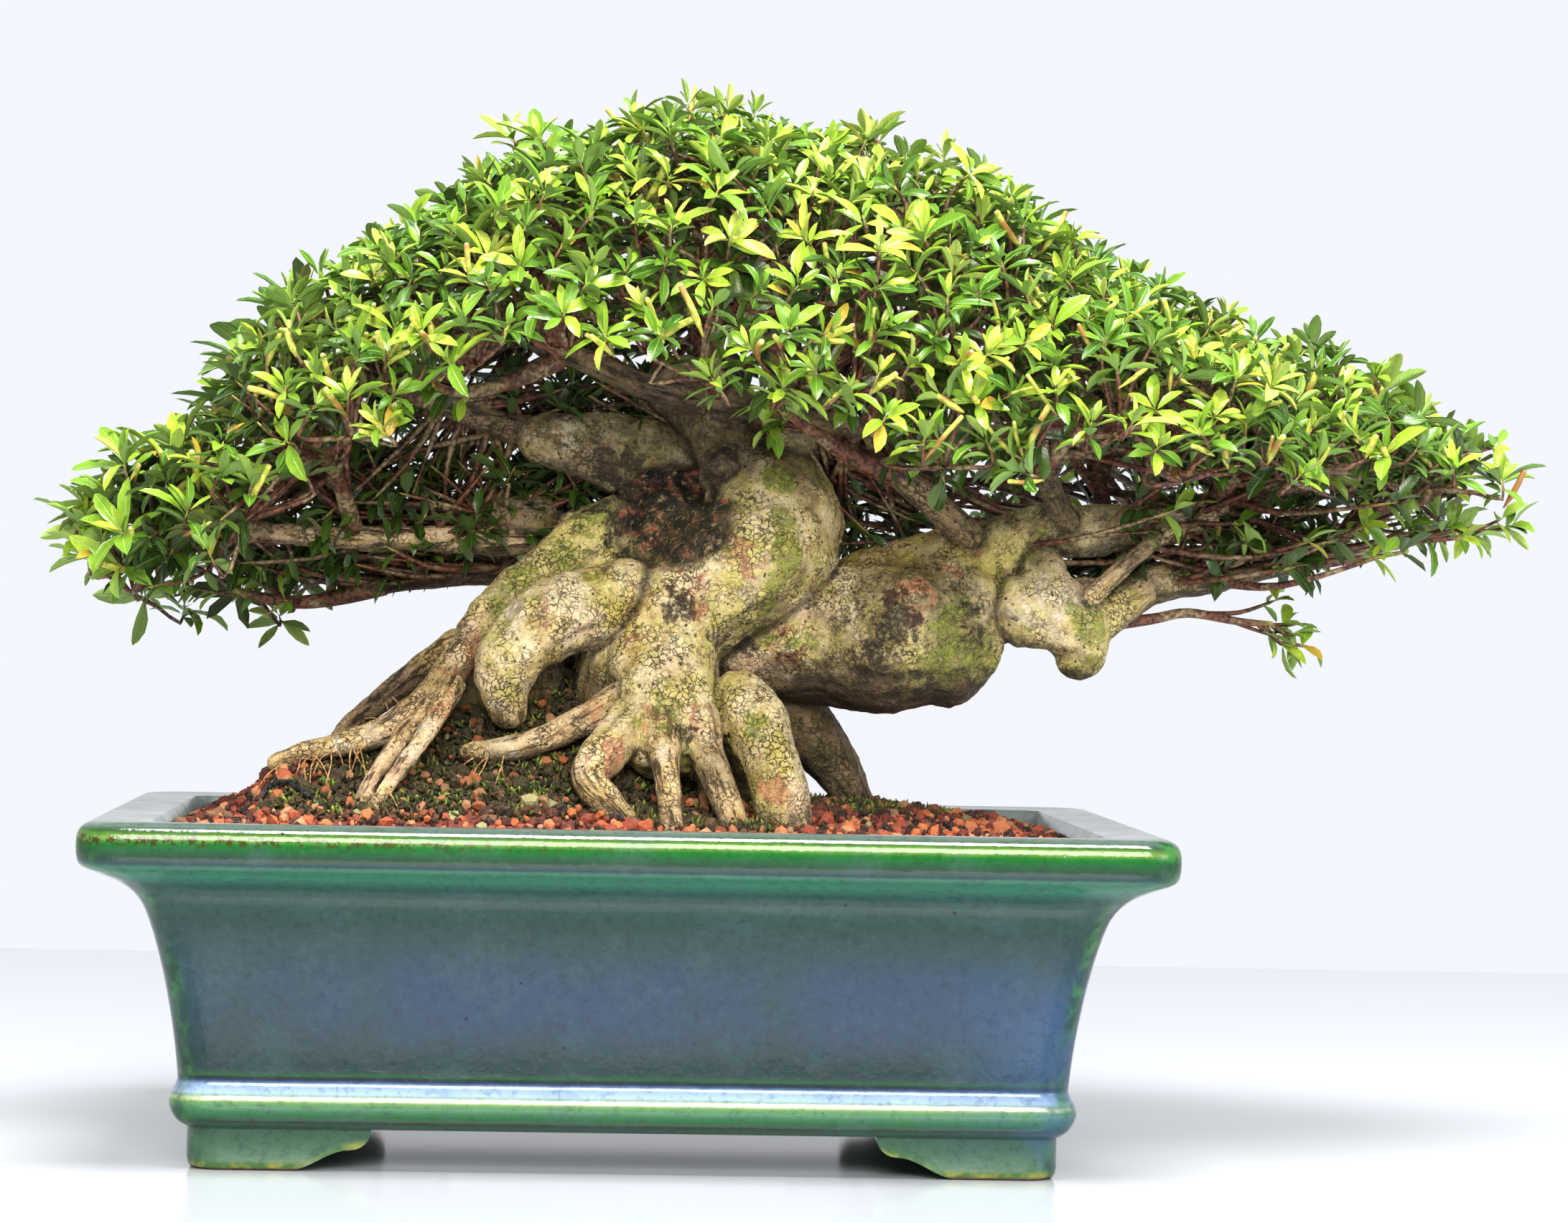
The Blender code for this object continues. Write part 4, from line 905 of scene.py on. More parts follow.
def spread_sites(rng, spacing, tries, inset, limit):
    """Evenly spread places over the crown, by seeded dart throwing."""
    left, right = CROWN_OUTLINE[0][0] + inset, CROWN_OUTLINE[-1][0] - inset
    kept = np.empty((0, 3))
    sites = []
    for _ in range(tries):
        site = crown_point(rng.uniform(left, right), math.radians(rng.uniform(-limit, limit)))
        place = np.array(site)
        if len(kept) == 0 or np.min(((kept - place) ** 2).sum(axis=1)) > spacing * spacing:
            kept = np.vstack([kept, place])
            sites.append(site)
    return sites


def make_whorl_list(rng):
    """Every whorl of leaves: its place, the way its shoot points, its spray, and whether it is shaded."""
    whorls = []
    for spacing, tries, tip, inset, limit in WHORL_LAYERS:
        for site in spread_sites(rng, spacing, tries, tip, limit):
            out = crown_outward(site)
            lumps = np.array([tuple(site)])
            lift = 8.0 * value_noise(lumps, 44.0, 5)[0] + 4.0 * value_noise(lumps, 18.0, 6)[0]
            lift += rng.choice((0.0, 0.0, 0.0, 3.0, 6.0, 9.0)) if inset < 20.0 else 0.0
            place = site + out * (lift - inset)
            drift = random_vector(rng, (-1, 1), (-1, 1), (-0.7, 1.0)) * 0.85
            way = (out * 0.62 + Vector((0.0, 0.0, 0.72)) + drift).normalized()
            thin_end = place.x < -150.0 or place.x > 325.0
            if not below_skirt(place, rng) and not (thin_end and rng.random() < 0.38):
                whorls.append((place, way, nearest_spray(site), inset > 20.0))
    return whorls


def below_skirt(place, rng):
    """True for a whorl that hangs lower than the leaves do in the photo."""
    px, py = photo_place([tuple(place)])[0]
    limit = np.interp(px, [x for x, _ in CROWN_SKIRT], [y for _, y in CROWN_SKIRT])
    excess = py + 28.0 - limit
    if place.y > 30.0:
        return excess > 20.0 and rng.random() < min(0.85, excess / 110.0)
    return excess > 45.0 or (excess > 0.0 and rng.random() < 0.93)


# A leaf is a row of numbers: base, way and upper side with three each, then length, width, bend, fold,
# twist, tone, chance of being old, and 1 for a shaded leaf.

def leaf_arrays(table, shape):
    """Points of many closed leaves: a base, sections of left, top, right and under, and a tip."""
    bases, ways, faces_up = table[:, 0:3], table[:, 3:6], table[:, 6:9]
    lengths, widths, bends, folds, twists = table[:, 9:14].T
    side = unit(np.cross(ways, faces_up))
    up = np.cross(side, ways)
    points = np.empty((len(table), 4 * len(shape) + 2, 3))
    points[:, 0] = bases
    for k, (t, wide) in enumerate(list(shape) + [(1.0, 0.0)]):
        turn = (bends * t)[:, None]
        middle = bases + lengths[:, None] * (ways * np.sin(turn) - up * (1.0 - np.cos(turn))) / bends[:, None]
        if wide == 0.0:
            points[:, -1] = middle
            break
        normal = up * np.cos(turn) + ways * np.sin(turn)
        roll = (twists * t)[:, None]
        across = side * np.cos(roll) + normal * np.sin(roll)
        normal = normal * np.cos(roll) - side * np.sin(roll)
        reach = (widths * wide / 2)[:, None]
        rise = np.sin(folds)[:, None] * reach
        thick = LEAF_THICK * (1.0 - 0.5 * t)
        points[:, 1 + 4 * k] = middle + across * reach * np.cos(folds)[:, None] + normal * rise
        points[:, 2 + 4 * k] = middle + normal * (thick * 0.35)
        points[:, 3 + 4 * k] = middle - across * reach * np.cos(folds)[:, None] + normal * rise
        points[:, 4 + 4 * k] = middle - normal * (thick * 0.65)
    return points


def leaf_faces(stations):
    """Triangles of one leaf with that many sections."""
    faces = []
    last = 4 * stations - 3
    for i in range(4):
        j = (i + 1) % 4
        faces.append((0, 1 + i, 1 + j))
        faces.append((4 * stations + 1, last + j, last + i))
        for k in range(stations - 1):
            low, high = 1 + 4 * k, 5 + 4 * k
            faces.append((low + i, high + i, high + j))
            faces.append((low + i, high + j, low + j))
    return np.array(faces)


def frame_round(axis):
    """Two directions that stand square to an axis and to each other."""
    across = axis.orthogonal().normalized()
    return across, axis.cross(across)


def whorl_leaves(place, way, deep, rng, table):
    """Outer leaves that spread, and small upright ones round the bud, as rows in a table."""
    across, up = frame_round(way)
    turn = rng.uniform(0.0, 2 * math.pi)
    age = min(0.8, max(0.0, rng.gauss(0.40, 0.19)))
    growth = rng.uniform(0.82, 1.16) * (1.22 if place.x < -140.0 or place.x > 300.0 else 1.0)
    outer = rng.randint(4, 7)
    inner = 1 if deep else rng.randint(2, 4)
    for i in range(outer + inner):
        small = i >= outer
        spin = turn + i * 2 * math.pi / (outer if not small else inner) + rng.uniform(-0.5, 0.5)
        spread = math.radians(rng.uniform(10, 42) if small else rng.uniform(32, 92))
        radial = across * math.cos(spin) + up * math.sin(spin)
        direction = (way * math.cos(spread) + radial * math.sin(spread)).normalized()
        normal = way - direction * way.dot(direction)
        if normal.length < 0.05:
            normal = -radial
        normal = (normal.normalized() - radial * (0.5 if small else 0.0)).normalized()
        length = (rng.uniform(7.0, 11.5) if small else rng.uniform(11.5, 19.0)) * growth
        width = length * rng.uniform(0.29, 0.40)
        start = place + way * (1.6 if small else rng.uniform(-2.6, 0.6)) + radial * 0.7
        tone = age + rng.uniform(-0.3, 0.26) + (0.2 if small else 0.0)
        table.append([*start, *direction, *normal, length, width,
                      rng.uniform(0.15, 0.5) if small else rng.uniform(0.25, 0.95),
                      math.radians(rng.uniform(14, 34)), rng.uniform(-0.5, 0.5),
                      min(1.0, max(0.0, tone)), rng.random(), 1.0 if deep else 0.0])
    if deep:
        return
    for _ in range(rng.randint(2, 4)):
        spin = rng.uniform(0.0, 2 * math.pi)
        radial = across * math.cos(spin) + up * math.sin(spin)
        direction = (radial + way * rng.uniform(-0.2, 0.9)).normalized()
        normal = (way - direction * way.dot(direction) + radial * 0.2).normalized()
        length = rng.uniform(9.0, 16.0)
        table.append([*(place - way * rng.uniform(2.5, 6.5) + radial * 0.6), *direction, *normal, length,
                      length * rng.uniform(0.30, 0.40), rng.uniform(0.2, 0.9),
                      math.radians(rng.uniform(10, 32)), rng.uniform(-0.7, 0.7),
                      max(0.0, age + rng.uniform(-0.3, 0.1)), rng.random(), 0.0])


def make_leaf_piece(name, rows, material, replaced):
    """One mesh with every leaf of a spray: fine ones outside, and simpler ones in the shade."""
    table = np.array(rows)
    points, faces, marks, first = [], [], [], 0
    for deep, shape in ((0.0, LEAF_SHAPE), (1.0, LEAF_SHAPE_SIMPLE)):
        part = table[table[:, 16] == deep]
        sections, corners = len(shape), 4 * len(shape) + 2
        points.append(leaf_arrays(part, shape).reshape(-1, 3))
        starts = first + corners * np.arange(len(part))
        faces.append((leaf_faces(sections)[None, :, :] + starts[:, None, None]).reshape(-1, 3))
        first += corners * len(part)
        block = np.zeros((len(part), corners, 6))
        block[:, :, 0] = [0.0] + [1.0, 0.0, -1.0, 0.0] * sections + [0.0]
        block[:, :, 1] = [0.0] + [t for t, _ in shape for _ in range(4)] + [1.0]
        block[:, :, 2] = [0.5] + [0.5, 0.0, 0.5, 1.0] * sections + [0.5]
        block[:, :, 3:6] = part[:, None, 14:17]
        marks.append(block.reshape(-1, 6))
    points, faces = np.concatenate(points), np.concatenate(faces)
    item = piece_from_arrays(name, points, faces, material, [replaced])
    item.data.set_sharp_from_angle(angle=math.radians(58.0))
    for column, label in enumerate(("across", "along", "under", "tone", "chance", "deep")):
        store(item.data, label, np.concatenate(marks)[:, column])


def twig_end_leaves(route, deep, rng, table):
    """A few leaves round the end of a thin twig, as rows in a table."""
    tip, before = Vector(route[-1][:3]), Vector(route[-3][:3])
    way = (tip - before).normalized()
    across, up = frame_round(way)
    for i in range(rng.randint(3, 6)):
        spin = i * 2.1 + rng.uniform(-0.5, 0.5)
        radial = across * math.cos(spin) + up * math.sin(spin)
        direction = (way * rng.uniform(0.2, 1.2) + radial).normalized()
        normal = Vector((rng.gauss(0, 0.4), rng.gauss(0, 0.4), 1.0))
        normal = (normal - direction * direction.dot(normal)).normalized()
        length = rng.uniform(9.5, 17.0)
        # Shaded leaves get darker tones, as painted shade.
        tone = rng.uniform(0.0, 0.45) if deep else rng.uniform(0.2, 0.8)
        table.append([*(tip - way * rng.uniform(0.0, 7.0)), *direction, *normal, length,
                      length * rng.uniform(0.31, 0.4), rng.uniform(0.25, 0.9),
                      math.radians(rng.uniform(10, 30)), rng.uniform(-0.5, 0.5), tone, rng.random(),
                      1.0 if deep else 0.0])


def make_leaves(whorls, twigs, rng, material):
    """One piece of leaves for each spray of the CAD model."""
    for name in SPRAYS:
        rows = []
        for route, home, deep in twigs:
            if home == name:
                twig_end_leaves(route, deep, rng, rows)
        for place, way, home, deep in whorls:
            if home == name:
                whorl_leaves(place, way, deep, rng, rows)
        make_leaf_piece(name.replace("spray_", "leaves_"), rows, material, name)


# Branches and twigs

def branch_route(fork, core):
    """Route from a fork on the trunk to the middle of a spray: it rises first, then levels out."""
    start = Vector(fork)
    end = Vector(core)
    bend = start.lerp(end, 0.55) + Vector((0.0, 0.0, 0.10 * (end - start).length))
    wander = Vector([noise.noise(start / 23.0 + shift) for shift in WANDER_SHIFTS]) * 4.0
    return [(*start, FORK_RADIUS), (*(bend + wander), (FORK_RADIUS + TWIG_END_RADIUS) / 2),
            (*end, TWIG_END_RADIUS)]


def group_places(places, groups, rng):
    """Split places into groups that lie together, and return each one's number and the middles."""
    places = np.array(places)
    middles = places[rng.sample(range(len(places)), groups)]
    for _ in range(8):
        home = np.argmin(((places[:, None] - middles[None]) ** 2).sum(axis=2), axis=1)
        for i in range(groups):
            if np.any(home == i):
                middles[i] = places[home == i].mean(axis=0)
    return home, middles


def wavy_route(start, end, start_radius, end_radius, sag, rng, steps=5):
    """A twig that bows a little on its way."""
    start, end = np.asarray(start, float), np.asarray(end, float)
    length = np.linalg.norm(end - start)
    bow = np.array([rng.uniform(-1, 1), rng.uniform(-1, 1), rng.uniform(-1, 0.4)]) * length * 0.09
    bow[2] -= sag * length
    stations = [(*start, start_radius), (*(start * 0.5 + end * 0.5 + bow), (start_radius + end_radius) / 2),
                (*end, end_radius)]
    return smooth_route(stations, steps // 2 + 1)


def crown_inside(rng, near, far):
    """A place between the crown's foot and its skin."""
    x = rng.uniform(CROWN_OUTLINE[0][0] + 14.0, CROWN_OUTLINE[-1][0] - 14.0)
    _, low, _ = crown_section(x)
    spine = Vector((x * 0.92 + CROWN_MIDDLE * 0.08, 0.0, low + 4.0))
    skin = crown_point(x, math.radians(rng.uniform(-105.0, 105.0)))
    return spine.lerp(skin, rng.uniform(near, far))


def limb_point(names, rng):
    """A random place on one of the named limbs, nearer its far end."""
    route = smooth_route(THICK_LIMBS[rng.choice(names)], 5)
    return route[rng.randint(len(route) // 3, len(route) - 1), :3]


def make_leafy_twigs(mains, rng):
    """Thin twigs that end in a few leaves: route, spray they belong to, and whether they are shaded."""
    twigs = []
    for _ in range(INNER_TWIGS):
        end = crown_inside(rng, 0.3, 0.95)
        home = nearest_spray(end)
        start = mains[home][rng.randint(2, len(mains[home]) - 1), :3]
        if not below_skirt(end, rng):
            twigs.append((wavy_route(start, end, rng.uniform(1.1, 2.0), 0.6, 0.02, rng, 6), home, True))
    for names, middle, half, count in POCKETS:
        for _ in range(count):
            start = limb_point(names, rng)
            end = Vector([m + h * rng.uniform(-1, 1) for m, h in zip(middle, half)])
            home = nearest_spray(end)
            twigs.append((wavy_route(start, end, rng.uniform(1.0, 2.1), 0.6, 0.0, rng, 8), home, True))
    for stations in LIMB_ENDS:
        route = smooth_route(stations, 5)
        way = unit(route[-1, :3] - route[-4, :3])
        for _ in range(LIMB_END_TWIGS):
            start = route[rng.randint(len(route) // 2, len(route) - 1), :3]
            end = Vector(start + way * rng.uniform(6.0, 26.0)) + random_vector(rng, (-9, 9), (-9, 9), (-9, 9))
            home = nearest_spray(end)
            twigs.append((wavy_route(start, end, rng.uniform(0.9, 1.4), 0.6, 0.0, rng, 6), home, False))
    for _ in range(SWEEPING_TWIGS):
        start = limb_point(("right_arm", "right_arm", "limb_top"), rng)
        end = Vector(start) + random_vector(rng, (30.0, 105.0), (-52.0, 44.0), (3.0, 30.0))
        end.x = min(end.x, SWEEP_LIMIT - rng.uniform(0.0, 24.0))
        home = nearest_spray(end)
        radius, sag = rng.uniform(1.2, 2.6), rng.uniform(-0.09, 0.02)
        twigs.append((wavy_route(start, end, radius, 0.7, sag, rng, 10), home, rng.random() < 0.4))
    return twigs


def main_routes():
    """Route of the branch to each spray."""
    return {name: smooth_route(branch_route(fork, core), 6) for name, (fork, core) in SPRAYS.items()}


def make_branches(whorls, mains, leafy, rng, material):
    """Branch to every spray, smaller branches to each cluster of whorls, and a twig to each whorl."""
    thick = [smooth_route(stations, 5) for stations in LIMB_ENDS] + list(mains.values())
    thin = [route for route, _, _ in leafy]
    for name, main in mains.items():
        homes = [(np.array(place), np.array(way)) for place, way, home, _ in whorls if home == name]
        places = [place for place, _ in homes]
        home, middles = group_places(places, max(2, round(len(places) / 8)), rng)
        for i, middle in enumerate(middles):
            members = [k for k in range(len(places)) if home[k] == i]
            if not members:
                continue
            lean = np.mean([homes[k][1] for k in members], axis=0)
            hub = middle - unit(lean) * rng.uniform(15.0, 22.0)
            reach = np.linalg.norm(main[:, :3] - hub, axis=1)
            last = len(main) - 1
            near = int(np.argmin(reach)) if rng.random() < 0.6 else last - rng.randint(0, 3)
            thick.append(wavy_route(main[near, :3], hub, 2.4, 1.5, 0.04, rng, 6))
            for k in members:
                place, way = homes[k]
                bend = place - way * rng.uniform(7.0, 12.0)
                middle_way = hub * 0.45 + bend * 0.55 + np.array([rng.uniform(-2, 2) for _ in range(3)])
                stations = [(*hub, 1.3), (*middle_way, 1.0), (*bend, 0.85), (*(place + way * 1.5), 0.7)]
                thin.append(smooth_route(stations, 2))
    tube_piece("branches", thick, 8, material)
    tube_piece("twigs", thin, 4, material)


def make_cut_shoots(whorls, rng, material):
    """Pruned shoots: straight yellow-green stems with a pale cut at the end."""
    routes = []
    while len(routes) < CUT_SHOOTS:
        place, way, _, deep = rng.choice(whorls)
        low_front = place.y < 20.0 and photo_place([tuple(place)])[0][1] > 430.0
        if deep or rng.random() > (0.9 if low_front else 0.12):
            continue
        lean = (way + random_vector(rng, (-0.8, 0.8), (-0.6, 0.3), (-0.5, 0.3))).normalized()
        start = place - way * rng.uniform(6.0, 12.0)
        length = rng.uniform(9.0, 24.0)
        bow = random_vector(rng, (-1, 1), (-1, 1), (-1, 1)) * length * 0.06
        radius = rng.uniform(0.8, 1.45)
        stations = [(*(start + lean * length * t + bow * math.sin(math.pi * t)), radius * (1.12 - 0.2 * t))
                    for t in (0.0, 0.33, 0.66, 1.0)]
        stations.append((*(start + lean * (length + 0.5)), radius * CUT_FACE))
        routes.append(np.array(stations))
    tube_piece("cut_shoots", routes, 7, material)


# Pot

def rounded_ring(half_x, half_y, radius, z):
    """Points of a rectangle with round corners, counter-clockwise, with its sides cut short."""
    corners = []
    for quarter in range(4):
        start = quarter * math.pi / 2
        sign_x = 1 if quarter in (0, 3) else -1
        sign_y = 1 if quarter in (0, 1) else -1
        arc = []
        for step in range(CORNER_STEPS + 1):
            angle = start + step * math.pi / 2 / CORNER_STEPS
            arc.append((sign_x * (half_x - radius) + radius * math.cos(angle),
                        sign_y * (half_y - radius) + radius * math.sin(angle)))
        corners.append(arc)
    points = []
    for quarter, arc in enumerate(corners):
        points += arc
        end, start = np.array(corners[(quarter + 1) % 4][0]), np.array(arc[-1])
        parts = SIDE_PARTS[quarter % 2]
        points += [tuple(start + (end - start) * part / parts) for part in range(1, parts)]
    return np.array([(x, y, z) for x, y in points])


def loft_arrays(rings, closed=False):
    """Quads between rings of one count. A closed loft joins the last ring to the first."""
    count = len(rings[0])
    ring = np.arange(count)
    faces = []
    for row in range(len(rings) - (0 if closed else 1)):
        low, high = row * count, (row + 1) % len(rings) * count
        faces += [(low + i, low + (i + 1) % count, high + (i + 1) % count, high + i) for i in ring]
    return np.concatenate(rings), faces


def outward(mesh):
    """Turn every face outwards, so that a boolean knows inside from outside."""
    bm = bmesh.new()
    bm.from_mesh(mesh)
    bmesh.ops.recalc_face_normals(bm, faces=bm.faces)
    bm.to_mesh(mesh)
    bm.free()


def loft_object(name, rings, closed=False):
    """A solid from rings. An open loft gets a cap at both ends."""
    points, faces = loft_arrays(rings, closed)
    count = len(rings[0])
    if not closed:
        faces.append(tuple(reversed(range(count))))
        faces.append(tuple(range(len(points) - count, len(points))))
    mesh = bpy.data.meshes.new(name)
    mesh.from_pydata([tuple(point) for point in to_frame(points)], [], faces)
    mesh.update()
    outward(mesh)
    return add_object(name, mesh)


def boolean(item, operation, others):
    """Cut or join others into an object, and remove them."""
    for other in others:
        tool = item.modifiers.new("cut", "BOOLEAN")
        tool.operation = operation
        tool.solver = "EXACT"
        tool.object = other
        apply_modifiers(item)
        bpy.data.objects.remove(other)


def ogee_outline(opening):
    """Half outline of the gap between two feet: a round notch, then a long curve to the ground."""
    notch_low = UNDERSIDE - OGEE_STEP
    points = [(opening, UNDERSIDE)]
    for step in range(1, 7):
        angle = step * math.pi / 12
        points.append((opening + OGEE_STEP * (1 - math.cos(angle)), UNDERSIDE - OGEE_STEP * math.sin(angle)))
    for step in range(1, 11):
        share = step / 10
        drop = 0.5 - 0.5 * math.cos(math.pi * share)
        points.append((opening + OGEE_STEP + OGEE_REACH * share, notch_low * (1 - drop)))
    return points


def foot_gap_cutter(name, opening, along_y):
    """Prism that opens the foot ring between two feet, right through the pot."""
    half = ogee_outline(opening)
    half.append((half[-1][0], -5.0))
    outline = half + [(-x, z) for x, z in reversed(half)]
    rings = [np.array([(x, side, z) if along_y else (side, x, z) for x, z in outline])
             for side in (-CUTTER_REACH, CUTTER_REACH)]
    return loft_object(name, rings)


def drain_cutter(x):
    """Round bar through the pot's floor."""
    turn = 2 * np.pi * np.arange(DRAIN_SIDES) / DRAIN_SIDES
    ring = np.stack([x + DRAIN_RADIUS * np.cos(turn), DRAIN_RADIUS * np.sin(turn), 0 * turn], axis=1)
    return loft_object("drain", [ring + (0.0, 0.0, z) for z in (5.0, 60.0)])


def make_pot(material):
    """Walls and floor as one loft, a ring of feet cut into four, and two drain holes."""
    outer = smooth_route(OUTER_PROFILE, 3)
    inner = smooth_route(INNER_PROFILE, 3)
    rings = [rounded_ring(half, half - RIM_STEP, CORNER_RADIUS, z) for half, z in outer]
    rings += [rounded_ring(half, half - RIM_STEP, CORNER_RADIUS - LIP_CORNER, z) for half, z in inner]
    pot = loft_object("pot_glaze", rings)
    inside = FOOT_HALF - FOOT_WALL
    sections = [(FOOT_HALF - 3.2, 0.0, 9.8), (FOOT_HALF - 1.6, 0.5, 11.4), (FOOT_HALF - 0.5, 1.8, 12.5),
                (FOOT_HALF, 4.0, 13.0), (FOOT_HALF, 12.0, 13.0), (FOOT_HALF, FOOT_TOP, 13.0),
                (inside, FOOT_TOP, 4.0), (inside, 3.0, 4.0), (inside + 1.5, 0.0, 5.5)]
    feet = loft_object("feet", [rounded_ring(half, half - RIM_STEP, corner, z)
                                for half, z, corner in sections], closed=True)
    boolean(feet, "DIFFERENCE", [foot_gap_cutter("front_gap", FRONT_OPENING, True),
                                 foot_gap_cutter("side_gap", SIDE_OPENING, False)])
    boolean(pot, "UNION", [feet])
    boolean(pot, "DIFFERENCE", [drain_cutter(side * DRAIN_X) for side in (-1, 1)])
    mesh = pot.data
    bpy.data.objects.remove(pot)
    mesh.shade_smooth()
    mesh.set_sharp_from_angle(angle=math.radians(40.0))
    points = from_frame(mesh_points(mesh))
    half = np.interp(points[:, 2], [z for _, z in OUTER_PROFILE], [x for x, _ in OUTER_PROFILE])
    inset = half - CORNER_RADIUS
    corner = fade(3.5, 8.5, np.minimum(np.abs(points[:, 0]) - inset, np.abs(points[:, 1]) - inset + RIM_STEP))
    reach = np.maximum(np.abs(points[:, 0]), np.abs(points[:, 1]) + RIM_STEP)
    store(mesh, "corner", corner)
    store(mesh, "inside", fade(3.5, 7.0, half - reach) * (points[:, 2] > 30.0))
    store(mesh, "height", points[:, 2])
    store(mesh, "along", points[:, 0])
    store(mesh, "depth", points[:, 1])
    place_piece("pot_glaze", mesh, material, ["pot"])


# Soil

def soil_height(x, y):
    """Height of the soil's surface: nearly flat at the walls, heaped up under the roots."""
    edge = np.maximum(np.abs(x) / SOIL_HALF_X, np.abs(y) / SOIL_HALF_Y)
    height = SOIL_MIDDLE - SOIL_EDGE_DROP * edge ** 6
    for mx, my, rise, left, right, deep in SOIL_MOUNDS:
        spread = np.where(x < mx, left, right)
        height = height + rise * np.exp(-((x - mx) / spread) ** 2 / 2 - ((y - my) / deep) ** 2 / 2)
    return height


def soil_normals(x, y):
    """Which way the soil's surface faces."""
    slope_x = (soil_height(x + 0.5, y) - soil_height(x - 0.5, y))
    slope_y = (soil_height(x, y + 0.5) - soil_height(x, y - 0.5))
    return unit(np.stack([-slope_x, -slope_y, np.ones_like(x)], axis=1))


def make_soil_body(material):
    """Closed body of packed soil that the grains lie on."""
    columns, rows = 72, 48
    xs = np.linspace(-1.0, 1.0, columns)
    ys = np.linspace(-1.0, 1.0, rows)
    grid_x, grid_y = np.meshgrid(xs, ys, indexing="ij")
    flat = np.zeros(columns * rows)
    top = np.stack([grid_x.ravel() * SOIL_HALF_X, grid_y.ravel() * SOIL_HALF_Y, flat], axis=1)
    top[:, 2] = soil_height(top[:, 0], top[:, 1]) - 1.6 + value_noise(top, 5.0, 9) * 0.5
    low = top.copy()
    low[:, 0] *= SOIL_LOW_SHARE_X
    low[:, 1] *= SOIL_LOW_SHARE_Y
    low[:, 2] = FLOOR_TOP + 2.0
    index = np.arange(columns * rows).reshape(columns, rows)
    quads = np.stack([index[:-1, :-1], index[1:, :-1], index[1:, 1:], index[:-1, 1:]], axis=-1).reshape(-1, 4)
    rim = np.concatenate([index[:, 0], index[-1, 1:], index[-2::-1, -1], index[0, -2:0:-1]])
    after = np.roll(rim, -1)
    base = columns * rows
    walls = np.stack([rim, rim + base, after + base, after], axis=-1)
    faces = np.concatenate([quads, quads[:, ::-1] + base, walls[:, ::-1]])
    item = piece_from_arrays("soil_bed", np.concatenate([top, low]), faces, material, ["soil"])
    store(item.data, "tone", np.full(len(item.data.vertices), 0.3))
    store(item.data, "mossy", moss_share(np.concatenate([top, low])))


def moss_share(points):
    """Where dark moss covers the soil: round the roots and left of them, broken up by noise."""
    share = np.zeros(len(points))
    for x, y, half_x, half_y in MOSS_PATCHES:
        reach = np.hypot((points[:, 0] - x) / half_x, (points[:, 1] - y) / half_y)
        share = np.maximum(share, fade(1.25, 0.6, reach + 0.35 * layered_noise(points, 22.0, 23, 3)))
    return share


def ico_points():
    """Corners and faces of an icosahedron of radius 1."""
    t = (1.0 + 5.0 ** 0.5) / 2.0
    corners = [(-1, t, 0), (1, t, 0), (-1, -t, 0), (1, -t, 0), (0, -1, t), (0, 1, t), (0, -1, -t), (0, 1, -t),
               (t, 0, -1), (t, 0, 1), (-t, 0, -1), (-t, 0, 1)]
    faces = [(0, 11, 5), (0, 5, 1), (0, 1, 7), (0, 7, 10), (0, 10, 11), (1, 5, 9), (5, 11, 4), (11, 10, 2),
             (10, 7, 6), (7, 1, 8), (3, 9, 4), (3, 4, 2), (3, 2, 6), (3, 6, 8), (3, 8, 9), (4, 9, 5),
             (2, 4, 11), (6, 2, 10), (8, 6, 7), (9, 8, 1)]
    return unit(np.array(corners, float)), np.array(faces)


def grain_sites(rng):
    """Evenly jittered places over the soil, closer where it is steep."""
    sites = []
    grid = {}
    cell = GRAIN_SPACING
    for _ in range(GRAIN_TRIES):
        x, y = rng.uniform(-SOIL_HALF_X, SOIL_HALF_X), rng.uniform(-SOIL_HALF_Y, SOIL_HALF_Y)
        z = float(soil_height(np.array(x), np.array(y)))
        key = (int(x // cell), int(y // cell), int(z // cell))
        near = [other for dx in (-1, 0, 1) for dy in (-1, 0, 1) for dz in (-1, 0, 1)
                for other in grid.get((key[0] + dx, key[1] + dy, key[2] + dz), ())]
        if all((x - a) ** 2 + (y - b) ** 2 + (z - c) ** 2 > cell * cell for a, b, c in near):
            grid.setdefault(key, []).append((x, y, z))
            sites.append((x, y, z))
    return np.array(sites)


def random_turns(count, numbers):
    """Random rotation matrices."""
    quat = unit(numbers.normal(size=(count, 4)))
    w, x, y, z = quat.T
    turns = np.stack([1 - 2 * (y * y + z * z), 2 * (x * y - z * w), 2 * (x * z + y * w),
                      2 * (x * y + z * w), 1 - 2 * (x * x + z * z), 2 * (y * z - x * w),
                      2 * (x * z - y * w), 2 * (y * z + x * w), 1 - 2 * (x * x + y * y)], axis=1)
    return turns.reshape(-1, 3, 3)


